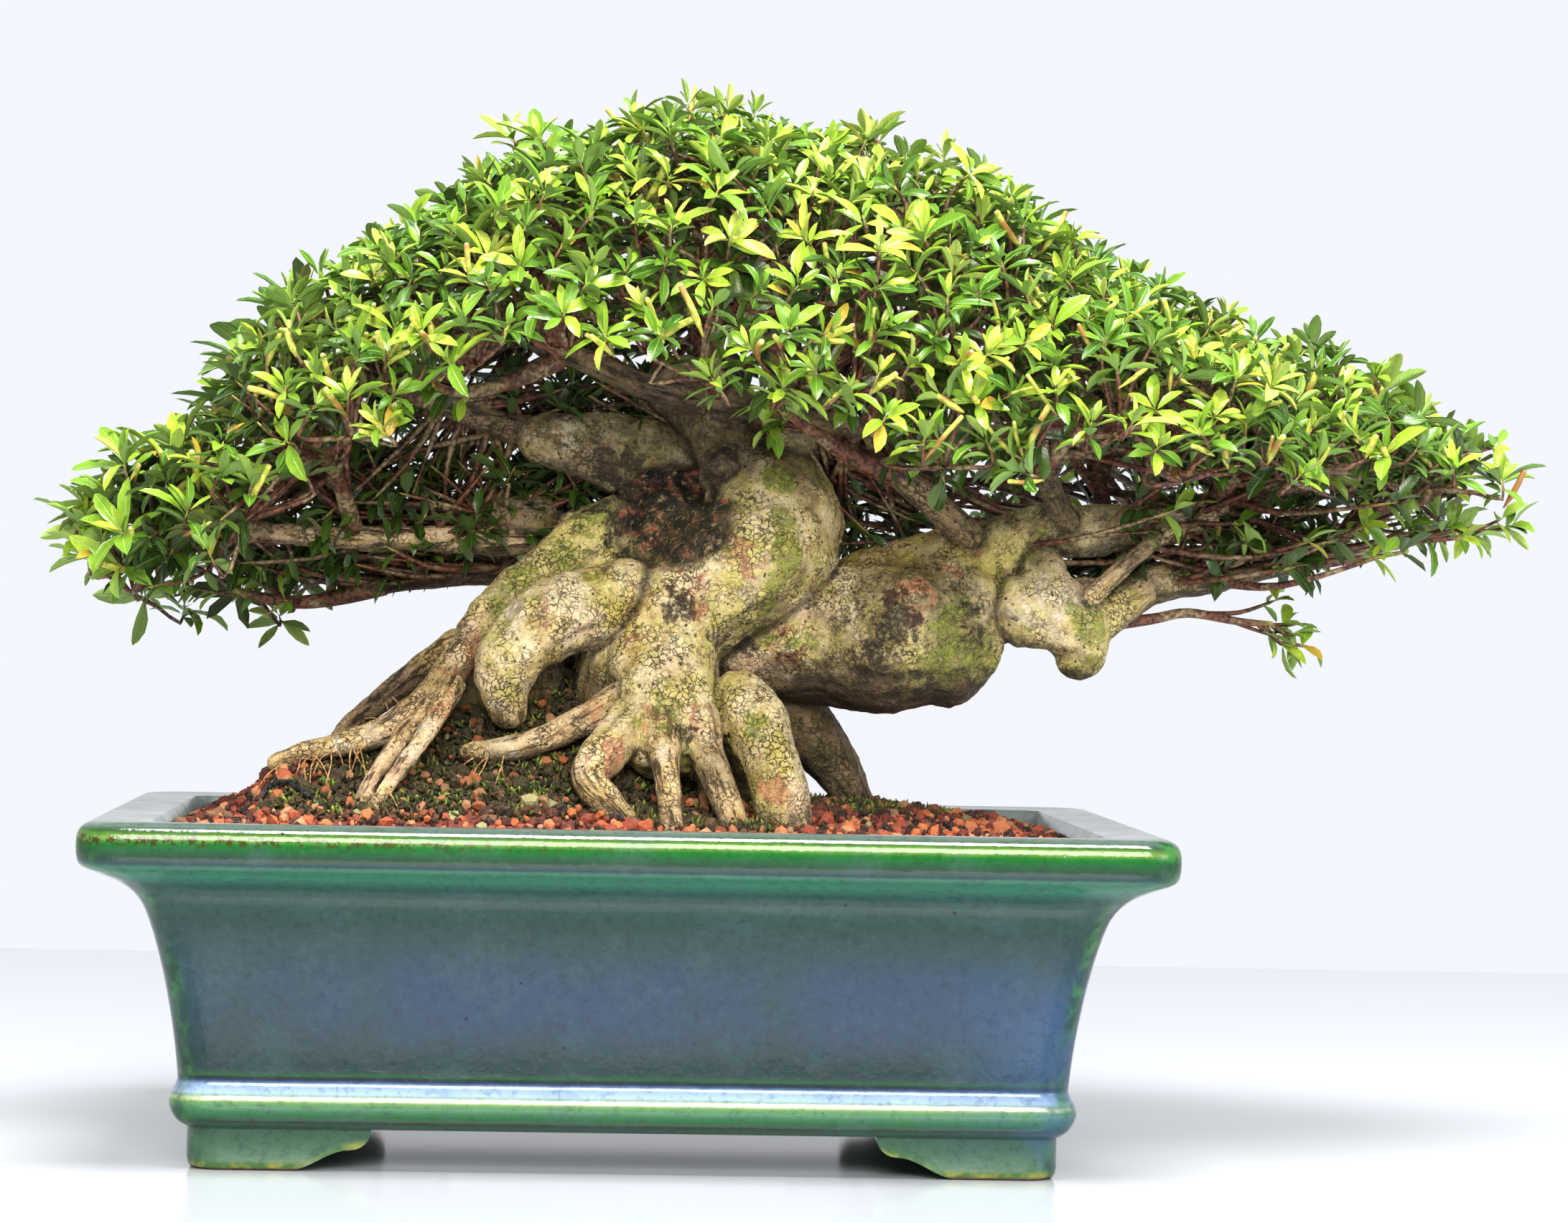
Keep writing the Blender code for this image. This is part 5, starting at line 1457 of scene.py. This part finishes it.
def make_grains(rng, material):
    """Every grain of soil that shows, as an uneven lump, and one pale stone."""
    sites = grain_sites(rng)
    numbers = np.random.RandomState(SEED)
    count = len(sites)
    corners, faces = ico_points()
    size = np.clip(numbers.lognormal(math.log(1.75), 0.42, count), 0.8, 3.8)
    stretch = numbers.uniform(0.6, 1.2, (count, 1, 3))
    dents = 1.0 + numbers.uniform(-0.28, 0.28, (count, 12, 1))
    shape = corners[None] * dents * stretch * size[:, None, None]
    shape = np.einsum("nij,nkj->nki", random_turns(count, numbers), shape)
    sites[:, 2] += numbers.uniform(-0.9, 0.7, count)
    tones = numbers.random_sample(count)
    stone = int(np.argmin(np.hypot(sites[:, 0] - PEBBLE[0], sites[:, 1] - PEBBLE[1])))
    shape[stone] = corners * (PEBBLE[2], PEBBLE[2] * 0.7, PEBBLE[2] * 0.85)
    sites[stone, 2] += 1.5
    tones[stone] = 1.0
    points = (shape + sites[:, None, :]).reshape(-1, 3)
    all_faces = (faces[None] + 12 * np.arange(count)[:, None, None]).reshape(-1, 3)
    item = piece_from_arrays("soil_grains", points, all_faces, material)
    item.data.shade_flat()
    bare = np.where(np.arange(count) == stone, 0.0, moss_share(sites))
    store(item.data, "tone", np.repeat(tones, 12))
    store(item.data, "mossy", np.repeat(bare, 12))


def make_moss(material):
    """Short pointed tufts, standing over the moss patches."""
    numbers = np.random.RandomState(SEED + 1)
    tries = numbers.uniform(-1.0, 1.0, (MOSS_TRIES, 2)) * (SOIL_HALF_X - 6.0, SOIL_HALF_Y - 6.0)
    x, y = tries[:, 0], tries[:, 1]
    sites = np.stack([x, y, soil_height(x, y)], axis=1)
    kept = numbers.random_sample(MOSS_TRIES) < moss_share(sites) * 0.9
    sites = sites[kept][:MOSS_TUFTS]
    count = len(sites)
    normals = soil_normals(sites[:, 0], sites[:, 1])
    height = numbers.uniform(1.2, 3.4, count) * (0.7 + 0.5 * (value_noise(sites, 9.0, 4) > 0))
    lean = unit(normals + numbers.normal(0.0, 0.5, (count, 3)))
    side = unit(np.cross(lean, numbers.normal(size=(count, 3))))
    other = np.cross(lean, side)
    width = numbers.uniform(0.5, 1.0, count)[:, None]
    ring = [side * math.cos(a) + other * math.sin(a) for a in np.arange(4) * math.pi / 2]
    blocks = [sites - lean * 1.5 + spoke * width for spoke in ring]
    blocks += [sites + lean * height[:, None] * 0.55 + spoke * width * 0.75 for spoke in ring]
    blocks.append(sites + lean * height[:, None])
    points = np.stack(blocks, axis=1)
    faces = [(0, 3, 2), (0, 2, 1)]
    for i in range(4):
        j = (i + 1) % 4
        faces += [(i, j, 4 + j), (i, 4 + j, 4 + i), (4 + i, 4 + j, 8)]
    faces = (np.array(faces)[None] + 9 * np.arange(count)[:, None, None]).reshape(-1, 3)
    item = piece_from_arrays("moss", points.reshape(-1, 3), faces, material)
    store(item.data, "tip", np.tile([0.0] * 4 + [0.6] * 4 + [1.0], count))
    store(item.data, "tone", np.repeat(numbers.random_sample(count), 9))


def make_fine_roots(rng, material):
    """Hair roots that leave the thin roots on the left and end in the soil."""
    routes = []
    for _ in range(FINE_ROOTS):
        route = smooth_route(THICK_LIMBS[rng.choice(HAIRY_ROOTS)], 6)
        start = route[rng.randint(len(route) // 2, len(route) - 1)]
        x, y = start[0] + rng.uniform(-12.0, 12.0), start[1] - start[3] - rng.uniform(1.0, 13.0)
        end = np.array((x, y, float(soil_height(np.array(x), np.array(y))) - 0.8))
        from_place = start[:3] + np.array((0.0, -0.8, -0.4)) * start[3]
        routes.append(wavy_route(from_place, end, 0.42, 0.26, -0.12, rng, 8))
    tube_piece("fine_roots", routes, 4, material)


# Materials

def bark_paint():
    """Pale cracked bark with moss, stains, rust, bare wood, dark limbs and the decayed hollow, and painted
    shade.
    """
    paint = Paint("bark")
    place = paint.place()
    grain_place = paint.mark("grain", "Vector")
    thin = paint.mark("thin")
    warp = paint.shift(place, paint.noise(140.0, 2.0, output="Color"), 0.004)
    broad = paint.noise(30.0, 4.0, place, 0.6)
    middle = paint.noise(120.0, 5.0, warp, 0.68)
    fine = paint.noise(420.0, 5.0, warp, 0.72)
    fibre = paint.noise(260.0, 4.0, grain_place, 0.65)

    # Wood colour, in broad and fine patches
    base = paint.ramp(broad, (0.34, "#CAAA62"), (0.45, "#EACF92"), (0.55, "#F8E3B2"), (0.68, "#F4C8A4"))
    base = paint.mix(paint.span(middle, 0.53, 0.68, 0.0, 0.7), base, "#FBEBC2")
    base = paint.mix(paint.span(middle, 0.48, 0.34, 0.0, 0.65), base, "#A08848")
    base = paint.mix(paint.span(fine, 0.47, 0.34, 0.0, 0.6), base, "#6B5428")

    # Thin green film
    film_noise = paint.noise(44.0, 4.0, warp, 0.62)
    film = paint.times(paint.span(film_noise, 0.45, 0.58), paint.span(fine, 0.35, 0.6, 0.25, 0.8))
    near_moss = paint.span(paint.mark("moss"), 0.05, 0.7, 0.0, 0.8)
    film = paint.most(film, paint.times(near_moss, paint.span(fine, 0.38, 0.58, 0.45, 1.0)))
    base = paint.mix(film, base, "#C9BC50")

    # Cracks, pores, pits and fissures along the grain
    bend = paint.shift(place, paint.noise(260.0, 4.0, output="Color"), 0.006)
    cracks = paint.span(paint.cells(360.0, "DISTANCE_TO_EDGE", bend), 0.10, 0.02)
    cracks = paint.times(cracks, paint.span(paint.noise(90.0, 4.0, place), 0.42, 0.60, 0.15, 0.95))
    pores = paint.span(paint.cells(270.0, "F1", warp), 0.21, 0.13)
    pores = paint.times(pores, paint.span(paint.noise(70.0, 3.0, place), 0.40, 0.52))
    pits = paint.span(paint.cells(520.0, "F1", warp), 0.25, 0.16)
    pits = paint.times(pits, paint.span(paint.noise(150.0, 3.0, place), 0.50, 0.60, 0.0, 0.9))
    pores = paint.most(pores, pits)
    fissures = paint.span(fibre, 0.46, 0.37)
    fissures = paint.times(fissures, paint.plus(paint.times(thin, 0.85), 0.15))
    marks = paint.most(paint.most(cracks, pores), fissures)
    # Painted shade in the low places of the relief.
    base = paint.mix(paint.times(paint.mark("cavity"), 0.3), base, "#5C4628")
    tan = paint.mix(paint.span(fibre, 0.38, 0.60), "#8E5636", "#ECC69A")
    base = paint.mix(paint.times(thin, 0.55), base, tan)
    base = paint.mix(paint.times(marks, 0.9), base, "#291B0C")
    speck = paint.noise(330.0, 4.0, place, 0.75)

    def layer(colour_now, mark, spread, dark, light, strength):
        """One kind of stain: its mask broken up by noise, in two tones."""
        edge = paint.plus(mark, paint.times(paint.minus(spread, 0.5), 4.2))
        share = paint.times(paint.span(edge, 0.42, 0.66), strength)
        share = paint.times(share, paint.span(mark, 0.02, 0.2))
        share = paint.times(share, paint.span(speck, 0.36, 0.54, 0.3, 1.0))
        return paint.mix(share, colour_now, paint.mix(paint.span(speck, 0.42, 0.60), dark, light))

    # Painted shade where the shade marks say, and stains where the other marks say and, on the back, where
    # noise says
    hidden = paint.span(paint.mark("seen"), 1.0, 0.0, 0.12, 1.0)
    moss_noise = paint.noise(75.0, 5.0, place, 0.68)
    stain_noise = paint.noise(95.0, 5.0, warp, 0.68)
    shade = paint.times(paint.span(paint.mark("shade"), 0.05, 0.7), paint.span(middle, 0.30, 0.60, 1.0, 0.6))
    base = paint.mix(shade, base, paint.mix(paint.span(fine, 0.40, 0.60), "#33291A", "#8A784A"))
    base = layer(base, paint.mark("pale"), stain_noise, "#C9B48E", "#EADCC0", 0.7)
    base = layer(base, paint.mark("rust"), stain_noise, "#9A5030", "#DC9C72", 0.8)
    green = paint.times(paint.span(paint.noise(22.0, 3.0, place), 0.50, 0.62, 0.0, 0.6), hidden)
    base = layer(base, paint.most(paint.mark("moss"), green), moss_noise, "#38480F", "#8C9A2A", 0.7)
    # Black stains, painted shade along the right limb's lower edge, and dark patches on the back.
    dark = paint.times(paint.span(paint.noise(17.0, 3.0, place), 0.56, 0.68, 0.0, 0.7), hidden)
    base = layer(base, paint.most(paint.mark("stain_and_shade"), dark), stain_noise, "#120F0B", "#3A2C1C", 0.93)

    # Painted shade on undersides and in clefts, dark limbs with some painted shade, and the hollow's rot and
    # painted shade
    # Painted shade on bark that faces down, with some black staining there too.
    under = paint.span(paint.mark("faces_up"), -0.30, -0.85, 0.0, 0.8)
    base = paint.mix(paint.times(under, paint.span(fine, 0.62, 0.40, 0.5, 1.0)), base, "#241F12")
    # Dark limbs: their own darker bark, with painted shade on the neck, under the elbow and under its arch.
    deep = paint.mix(paint.span(fibre, 0.38, 0.60), "#1C130E", "#5C4632")
    base = paint.mix(paint.times(paint.mark("dark_limb_and_shade"), 0.85), base, deep)
    # Painted shade in the clefts between limbs.
    base = paint.mix(paint.times(paint.mark("cleft"), 0.85), base, "#1D160E")
    # Rotten wood in the hollow, whose near black is partly painted shade in the recess.
    lumps = paint.noise(150.0, 3.0, place)
    rot_and_shade = paint.mix(paint.span(lumps, 0.49, 0.54), "#050403", "#46301F")
    rot_and_shade = paint.mix(paint.span(lumps, 0.59, 0.63, 0.0, 0.9), rot_and_shade, "#A25A40")
    rot_and_shade = paint.mix(paint.span(speck, 0.56, 0.62, 0.0, 0.85), rot_and_shade, "#AE9264")
    base = paint.mix(paint.times(paint.mark("hollow"), 0.95), base, rot_and_shade)

    paint.set(Base_Color=base, Roughness=paint.span(fine, 0.3, 0.7, 0.5, 0.8))
    height = paint.plus(middle, paint.times(fine, 0.6))
    height = paint.minus(height, paint.times(marks, 0.55))
    paint.bump(height, 0.0022, 1.0)
    return paint.material


def twig_paint():
    """Brown and grey bark of the branches, greener at the ends of twigs."""
    paint = Paint("twig")
    along = paint.mark("along")
    fine = paint.noise(500.0, 4.0, None, 0.65)
    brown = paint.mix(paint.span(fine, 0.4, 0.6), "#2C1910", "#7C4A32")
    grey = paint.mix(paint.span(fine, 0.4, 0.6), "#54432E", "#A08A62")
    base = paint.mix(paint.span(paint.noise(55.0, 3.0), 0.48, 0.62), brown, grey)
    green = paint.mix(paint.span(fine, 0.4, 0.6), "#7C7A2C", "#B2AC4A")
    base = paint.mix(paint.span(along, 0.80, 1.0, 0.0, 0.7), base, green)
    paint.set(Base_Color=base, Roughness=0.62)
    paint.bump(fine, 0.0006, 0.8)
    return paint.material


def shoot_paint():
    """Yellow-green stem of a cut shoot, with a pale end."""
    paint = Paint("shoot")
    fine = paint.noise(380.0, 4.0, None, 0.65)
    stem = paint.mix(paint.span(fine, 0.36, 0.62), "#97A030", "#D2CC5E")
    stem = paint.mix(paint.span(paint.noise(40.0, 2.0), 0.56, 0.64), stem, "#A8743C")
    cut_end = paint.mix(paint.span(fine, 0.4, 0.6), "#C98A5E", "#F0C8A0")
    base = paint.mix(paint.span(paint.mark("along"), 0.90, 0.99), stem, cut_end)
    paint.set(Base_Color=base, Roughness=0.55)
    paint.bump(fine, 0.0005, 0.7)
    return paint.material


def leaf_paint():
    """Leaf with a pale rib and veins, a duller underside, a few old yellow leaves, and painted shade on
    shaded leaves.
    """
    paint = Paint("leaf")
    across, along = paint.mark("across"), paint.mark("along")
    tone, chance, under, deep = (paint.mark(name) for name in ("tone", "chance", "under", "deep"))
    off = paint.size(across)
    green = paint.ramp(tone, (0.0, "#2C5410"), (0.25, "#528018"), (0.5, "#88AE28"), (0.75, "#B0C83A"),
                       (1.0, "#DEE268"))
    mottle = paint.noise(420.0, 3.0)
    green = paint.mix(paint.span(mottle, 0.40, 0.62, 0.0, 0.3), green, "#5E8618")
    old = paint.ramp(chance, (0.975, 0.0), (0.99, 1.0))
    green = paint.mix(paint.times(old, 0.85), green, "#D9A83A")
    slant = paint.minus(along, paint.times(off, 0.16))
    vein_rows = paint.maths("SINE", paint.times(slant, 62.0))
    veins = paint.times(paint.span(vein_rows, 0.75, 1.0), paint.span(off, 0.95, 0.3))
    rib = paint.span(off, 0.16, 0.03)
    green = paint.mix(paint.times(veins, 0.22), green, "#9CC860")
    green = paint.mix(paint.times(rib, 0.55), green, "#B4D66E")
    green = paint.mix(paint.span(off, 0.86, 1.0, 0.0, 0.25), green, "#8FBF50")
    pale = paint.mix(0.55, green, "#8FA860")
    green = paint.mix(paint.span(under, 0.52, 0.62), green, pale)
    # Painted shade: leaves deep in the crown are darkened almost to black.
    green = paint.mix(paint.times(deep, 0.72), green, "#101E08")
    paint.set(Base_Color=green, Roughness=paint.span(under, 0.45, 0.6, 0.27, 0.6), Specular_IOR_Level=0.5)
    lines = paint.plus(paint.times(rib, 0.8), paint.times(veins, 0.5))
    relief = paint.minus(paint.times(mottle, 0.4), lines)
    paint.bump(relief, 0.00035, 0.9)
    return paint.material


def glaze_paint():
    """Blue and green glaze in bands by height, which runs at the edges and thins at lip and feet, and a
    painted belt highlight.
    """
    paint = Paint("glaze")
    place = paint.place()
    height, corner = paint.mark("height"), paint.mark("corner")
    across, depth = (paint.size(paint.mark(name)) for name in ("along", "depth"))
    warp = paint.shift(place, paint.noise(30.0, 3.0, output="Color"), 0.012)
    flow = paint.noise(34.0, 5.0, warp, 0.62)
    cloud = paint.noise(11.0, 4.0, warp, 0.6)
    fine = paint.noise(300.0, 4.0, place, 0.7)

    # Bands by height, which sway a little where the glaze ran, with the belt's painted highlight among them
    sway = paint.times(paint.span(height, 39.0, 52.0, 1.3, 5.0), paint.span(height, 112.0, 100.0, 0.3, 1.0))
    level = paint.plus(height, paint.times(paint.minus(flow, 0.5), sway))
    base = paint.ramp(paint.maths("DIVIDE", level, POT_HEIGHT), *GLAZE_AND_HIGHLIGHT_BANDS)

    # Blue clouds on the wall and at its right end
    band = paint.span(paint.size(paint.minus(level, 67.0)), 24.0, 6.0)
    blue = paint.times(band, paint.span(cloud, 0.40, 0.58))
    low_right = paint.times(paint.span(paint.mark("along"), 110.0, 175.0), paint.span(level, 95.0, 60.0))
    blue = paint.most(blue, paint.times(low_right, 0.8))
    blue = paint.times(blue, paint.span(level, 36.0, 42.0))
    base = paint.mix(paint.times(blue, 0.7), base, "#293B59")
    base = paint.mix(paint.times(low_right, paint.span(cloud, 0.46, 0.60, 0.0, 0.5)), base, "#3A5A80")
    base = paint.mix(paint.span(flow, 0.50, 0.66, 0.0, 0.25), base, "#3C5458")
    base = paint.mix(paint.span(fine, 0.50, 0.34, 0.0, 0.3), base, "#131E1D")
    base = paint.mix(paint.span(fine, 0.54, 0.70, 0.0, 0.03), base, "#8FA6A4")

    # Thin glaze on the corners and along the lower edges of the feet
    toe_long = paint.minus(height, paint.span(across, 103.0, 127.0, 8.5, 0.0))
    toe_short = paint.minus(height, paint.span(depth, 56.0, 80.0, 8.5, 0.0))
    toe = paint.most(paint.span(toe_long, 4.6, 1.4), paint.span(toe_short, 4.6, 1.4))
    toe = paint.times(toe, paint.span(height, 15.5, 14.0))
    mottled = paint.span(paint.noise(150.0, 4.0, warp), 0.42, 0.62)
    edges = paint.times(corner, paint.span(flow, 0.40, 0.58, 0.1, 0.8))
    base = paint.mix(edges, base, paint.mix(mottled, "#0C3A1C", "#2C6E2C"))
    toe = paint.times(toe, paint.span(flow, 0.34, 0.52, 0.35, 0.95))
    base = paint.mix(toe, base, paint.mix(mottled, "#3E6A28", "#93963C"))

    # Inside of the rim, dark specks under the lip, pinholes, and bare clay where the feet stand
    rim = paint.mix(paint.span(paint.noise(60.0, 4.0, warp), 0.38, 0.62), *INNER_GLAZE)
    base = paint.mix(paint.mark("inside"), base, rim)
    line = paint.span(paint.size(paint.minus(level, 128.4)), 3.2, 0.8)
    line = paint.times(line, paint.span(paint.mark("along"), 60.0, -170.0, 0.15, 1.0))
    specks = paint.span(paint.noise(330.0, 3.0, place, 0.7), 0.48, 0.55)
    base = paint.mix(paint.times(paint.times(line, specks), 0.9), base, "#3A2812")
    pins = paint.span(paint.cells(95.0, "F1", place), 0.075, 0.035)
    pins = paint.times(pins, paint.span(paint.noise(40.0, 2.0), 0.50, 0.58))
    base = paint.mix(paint.times(pins, 0.75), base, "#15201E")
    bare = paint.span(height, 1.5, 0.5)
    base = paint.mix(bare, base, paint.mix(paint.span(fine, 0.4, 0.6), "#4E382A", "#7A5A42"))

    wall = paint.times(paint.span(height, 37.0, 42.0), paint.span(height, 112.0, 100.0))
    paint.set(Base_Color=base, Specular_IOR_Level=paint.minus(0.42, paint.times(wall, 0.2)))
    paint.set(Roughness=paint.plus(paint.span(flow, 0.3, 0.7, 0.07, 0.15), paint.times(bare, 0.6)))
    relief = paint.minus(paint.plus(flow, paint.times(fine, 0.1)),
                         paint.times(pins, 0.6))
    paint.bump(relief, 0.0007, 0.7)
    return paint.material


def soil_paint():
    """Grains from black through red to tan by their tone, darker under moss."""
    paint = Paint("soil")
    tone, mossy = paint.mark("tone"), paint.mark("mossy")
    fine = paint.noise(700.0, 4.0, None, 0.7)
    base = paint.ramp(tone, (0.0, "#1A100E"), (0.16, "#46201A"), (0.34, "#7C3629"), (0.54, "#A34A34"),
                      (0.70, "#CE6E3C"), (0.82, "#BE8C66"), (0.90, "#181110"))
    base = paint.mix(paint.span(tone, 0.985, 0.999), base, "#A09C6C")
    base = paint.mix(paint.span(fine, 0.48, 0.68, 0.0, 0.3), base, "#B87E5C")
    base = paint.mix(paint.span(fine, 0.45, 0.30, 0.0, 0.5), base, "#2C1812")
    dark = paint.mix(paint.span(fine, 0.4, 0.62), "#1E1B0E", "#4A4420")
    hidden = paint.ramp(tone, (0.0, 0.97), (0.5, 0.95), (0.7, 0.45), (0.85, 0.3))
    base = paint.mix(paint.times(mossy, hidden), base, dark)
    paint.set(Base_Color=base, Roughness=0.92)
    paint.bump(fine, 0.0007, 0.9)
    return paint.material


def moss_paint():
    """Green and brown moss, dark at its foot."""
    paint = Paint("moss")
    tone, tip = paint.mark("tone"), paint.mark("tip")
    patch = paint.noise(70.0, 3.0)
    green = paint.ramp(tone, (0.0, "#20260C"), (0.4, "#44541A"), (0.75, "#748A26"), (1.0, "#B0BC48"))
    brown = paint.ramp(tone, (0.0, "#1A150B"), (1.0, "#5E4C22"))
    base = paint.mix(paint.span(patch, 0.44, 0.58), brown, green)
    base = paint.mix(paint.times(paint.minus(1.0, tip), 0.6), base, "#17160A")
    paint.set(Base_Color=base, Roughness=0.85)
    return paint.material


def plain_paint(name, dark, light, roughness, metallic=0.0, scale=600.0, depth=0.0002):
    """Fine-grained finish for the wire, the meshes, the clips and the fine roots."""
    paint = Paint(name)
    fine = paint.noise(scale, 4.0, None, 0.65)
    paint.set(Base_Color=paint.mix(paint.span(fine, 0.4, 0.62), dark, light), Metallic=metallic)
    paint.set(Roughness=paint.span(fine, 0.3, 0.7, roughness - 0.08, roughness + 0.1))
    paint.bump(fine, depth, 0.6)
    return paint.material


def floor_paint():
    """Pale, slightly glossy studio table."""
    paint = Paint("floor")
    paint.set(Base_Color="#CCD0D8", Roughness=0.11, Specular_IOR_Level=0.42)
    return paint.material


# Stage and light

def make_floor():
    """The table that the pot stands on."""
    mesh = bpy.data.meshes.new("floor")
    x0, x1, y0, y1 = FLOOR_EDGES
    corners = [(x0, y0), (x1, y0), (x1, y1), (x0, y1)]
    mesh.from_pydata([(ORIGIN.x + x, ORIGIN.y + y, 0.0) for x, y in corners], [], [(0, 1, 2, 3)])
    mesh.materials.append(floor_paint())
    add_object("floor", mesh)


def make_world():
    """Pale background for the camera, and a softer one, brighter at the back, that lights the scene."""
    world = bpy.data.worlds.new("studio")
    bpy.context.scene.world = world
    world.use_nodes = True
    nodes, links = world.node_tree.nodes, world.node_tree.links
    back = nodes["Background"]
    back.inputs["Color"].default_value = (*hue("#F4F7FD"), 1.0)
    back.inputs["Strength"].default_value = 1.0
    soft = nodes.new("ShaderNodeBackground")
    place = nodes.new("ShaderNodeTexCoord")
    split = nodes.new("ShaderNodeSeparateXYZ")
    ramp = nodes.new("ShaderNodeMapRange")
    links.new(place.outputs["Generated"], split.inputs["Vector"])
    links.new(split.outputs["Y"], ramp.inputs["Value"])
    numbers = {"From Min": -0.6, "From Max": 0.6, "To Min": WORLD_FRONT, "To Max": WORLD_BACK}
    for name, number in numbers.items():
        ramp.inputs[name].default_value = number
    links.new(ramp.outputs["Result"], soft.inputs["Strength"])
    soft.inputs["Color"].default_value = (*hue("#F6F8FC"), 1.0)
    sight = nodes.new("ShaderNodeLightPath")
    blend = nodes.new("ShaderNodeMixShader")
    links.new(sight.outputs["Is Camera Ray"], blend.inputs["Fac"])
    links.new(soft.outputs["Background"], blend.inputs[1])
    links.new(back.outputs["Background"], blend.inputs[2])
    links.new(blend.outputs["Shader"], nodes["World Output"].inputs["Surface"])


def make_light(name, place, aim, width, height, power, colour):
    """A soft box at a place, turned to its aim."""
    data = bpy.data.lights.new(name, "AREA")
    data.shape = "RECTANGLE"
    data.size, data.size_y = width, height
    data.energy = power
    data.color = hue(colour)
    lamp = add_object(name, data)
    start = ORIGIN + Vector(place)
    lamp.location = start
    lamp.rotation_euler = (ORIGIN + Vector(aim) - start).to_track_quat("-Z", "Y").to_euler()


def make_lights():
    """Every lamp of the studio, and plain colours as they are seen."""
    for lamp in LAMPS:
        make_light(*lamp)
    bpy.context.scene.view_settings.view_transform = "Standard"


def paint_node(name, material):
    """Give a CAD node that is shown as it is a better material."""
    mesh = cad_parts[name].data
    mesh.materials.clear()
    mesh.materials.append(material)


make_camera()
make_world()
make_lights()
make_floor()

whorl_list = make_whorl_list(random.Random(SEED))
bark = bark_paint()
make_trunk(bark)
mains = main_routes()
leafy_twigs = make_leafy_twigs(mains, random.Random(SEED + 7))
make_branches(whorl_list, mains, leafy_twigs, random.Random(SEED + 2), twig_paint())
make_cut_shoots(whorl_list, random.Random(SEED + 6), shoot_paint())
make_leaves(whorl_list, leafy_twigs, random.Random(SEED + 3), leaf_paint())
make_pot(glaze_paint())
earth = soil_paint()
make_soil_body(earth)
make_grains(random.Random(SEED + 4), earth)
make_moss(moss_paint())
make_fine_roots(random.Random(SEED + 8), plain_paint("root_hair", "#7C5230", "#D2A86C", 0.7))
paint_node("tie_wire", plain_paint("wire", "#2E3033", "#6A6E72", 0.42, 1.0))
net = plain_paint("net", "#121315", "#26282B", 0.55)
clip = plain_paint("clip", "#8A8C8E", "#C4C6C8", 0.35, 1.0)
for side in ("left", "right"):
    paint_node("drain_mesh_" + side, net)
    paint_node("mesh_clip_" + side, clip)
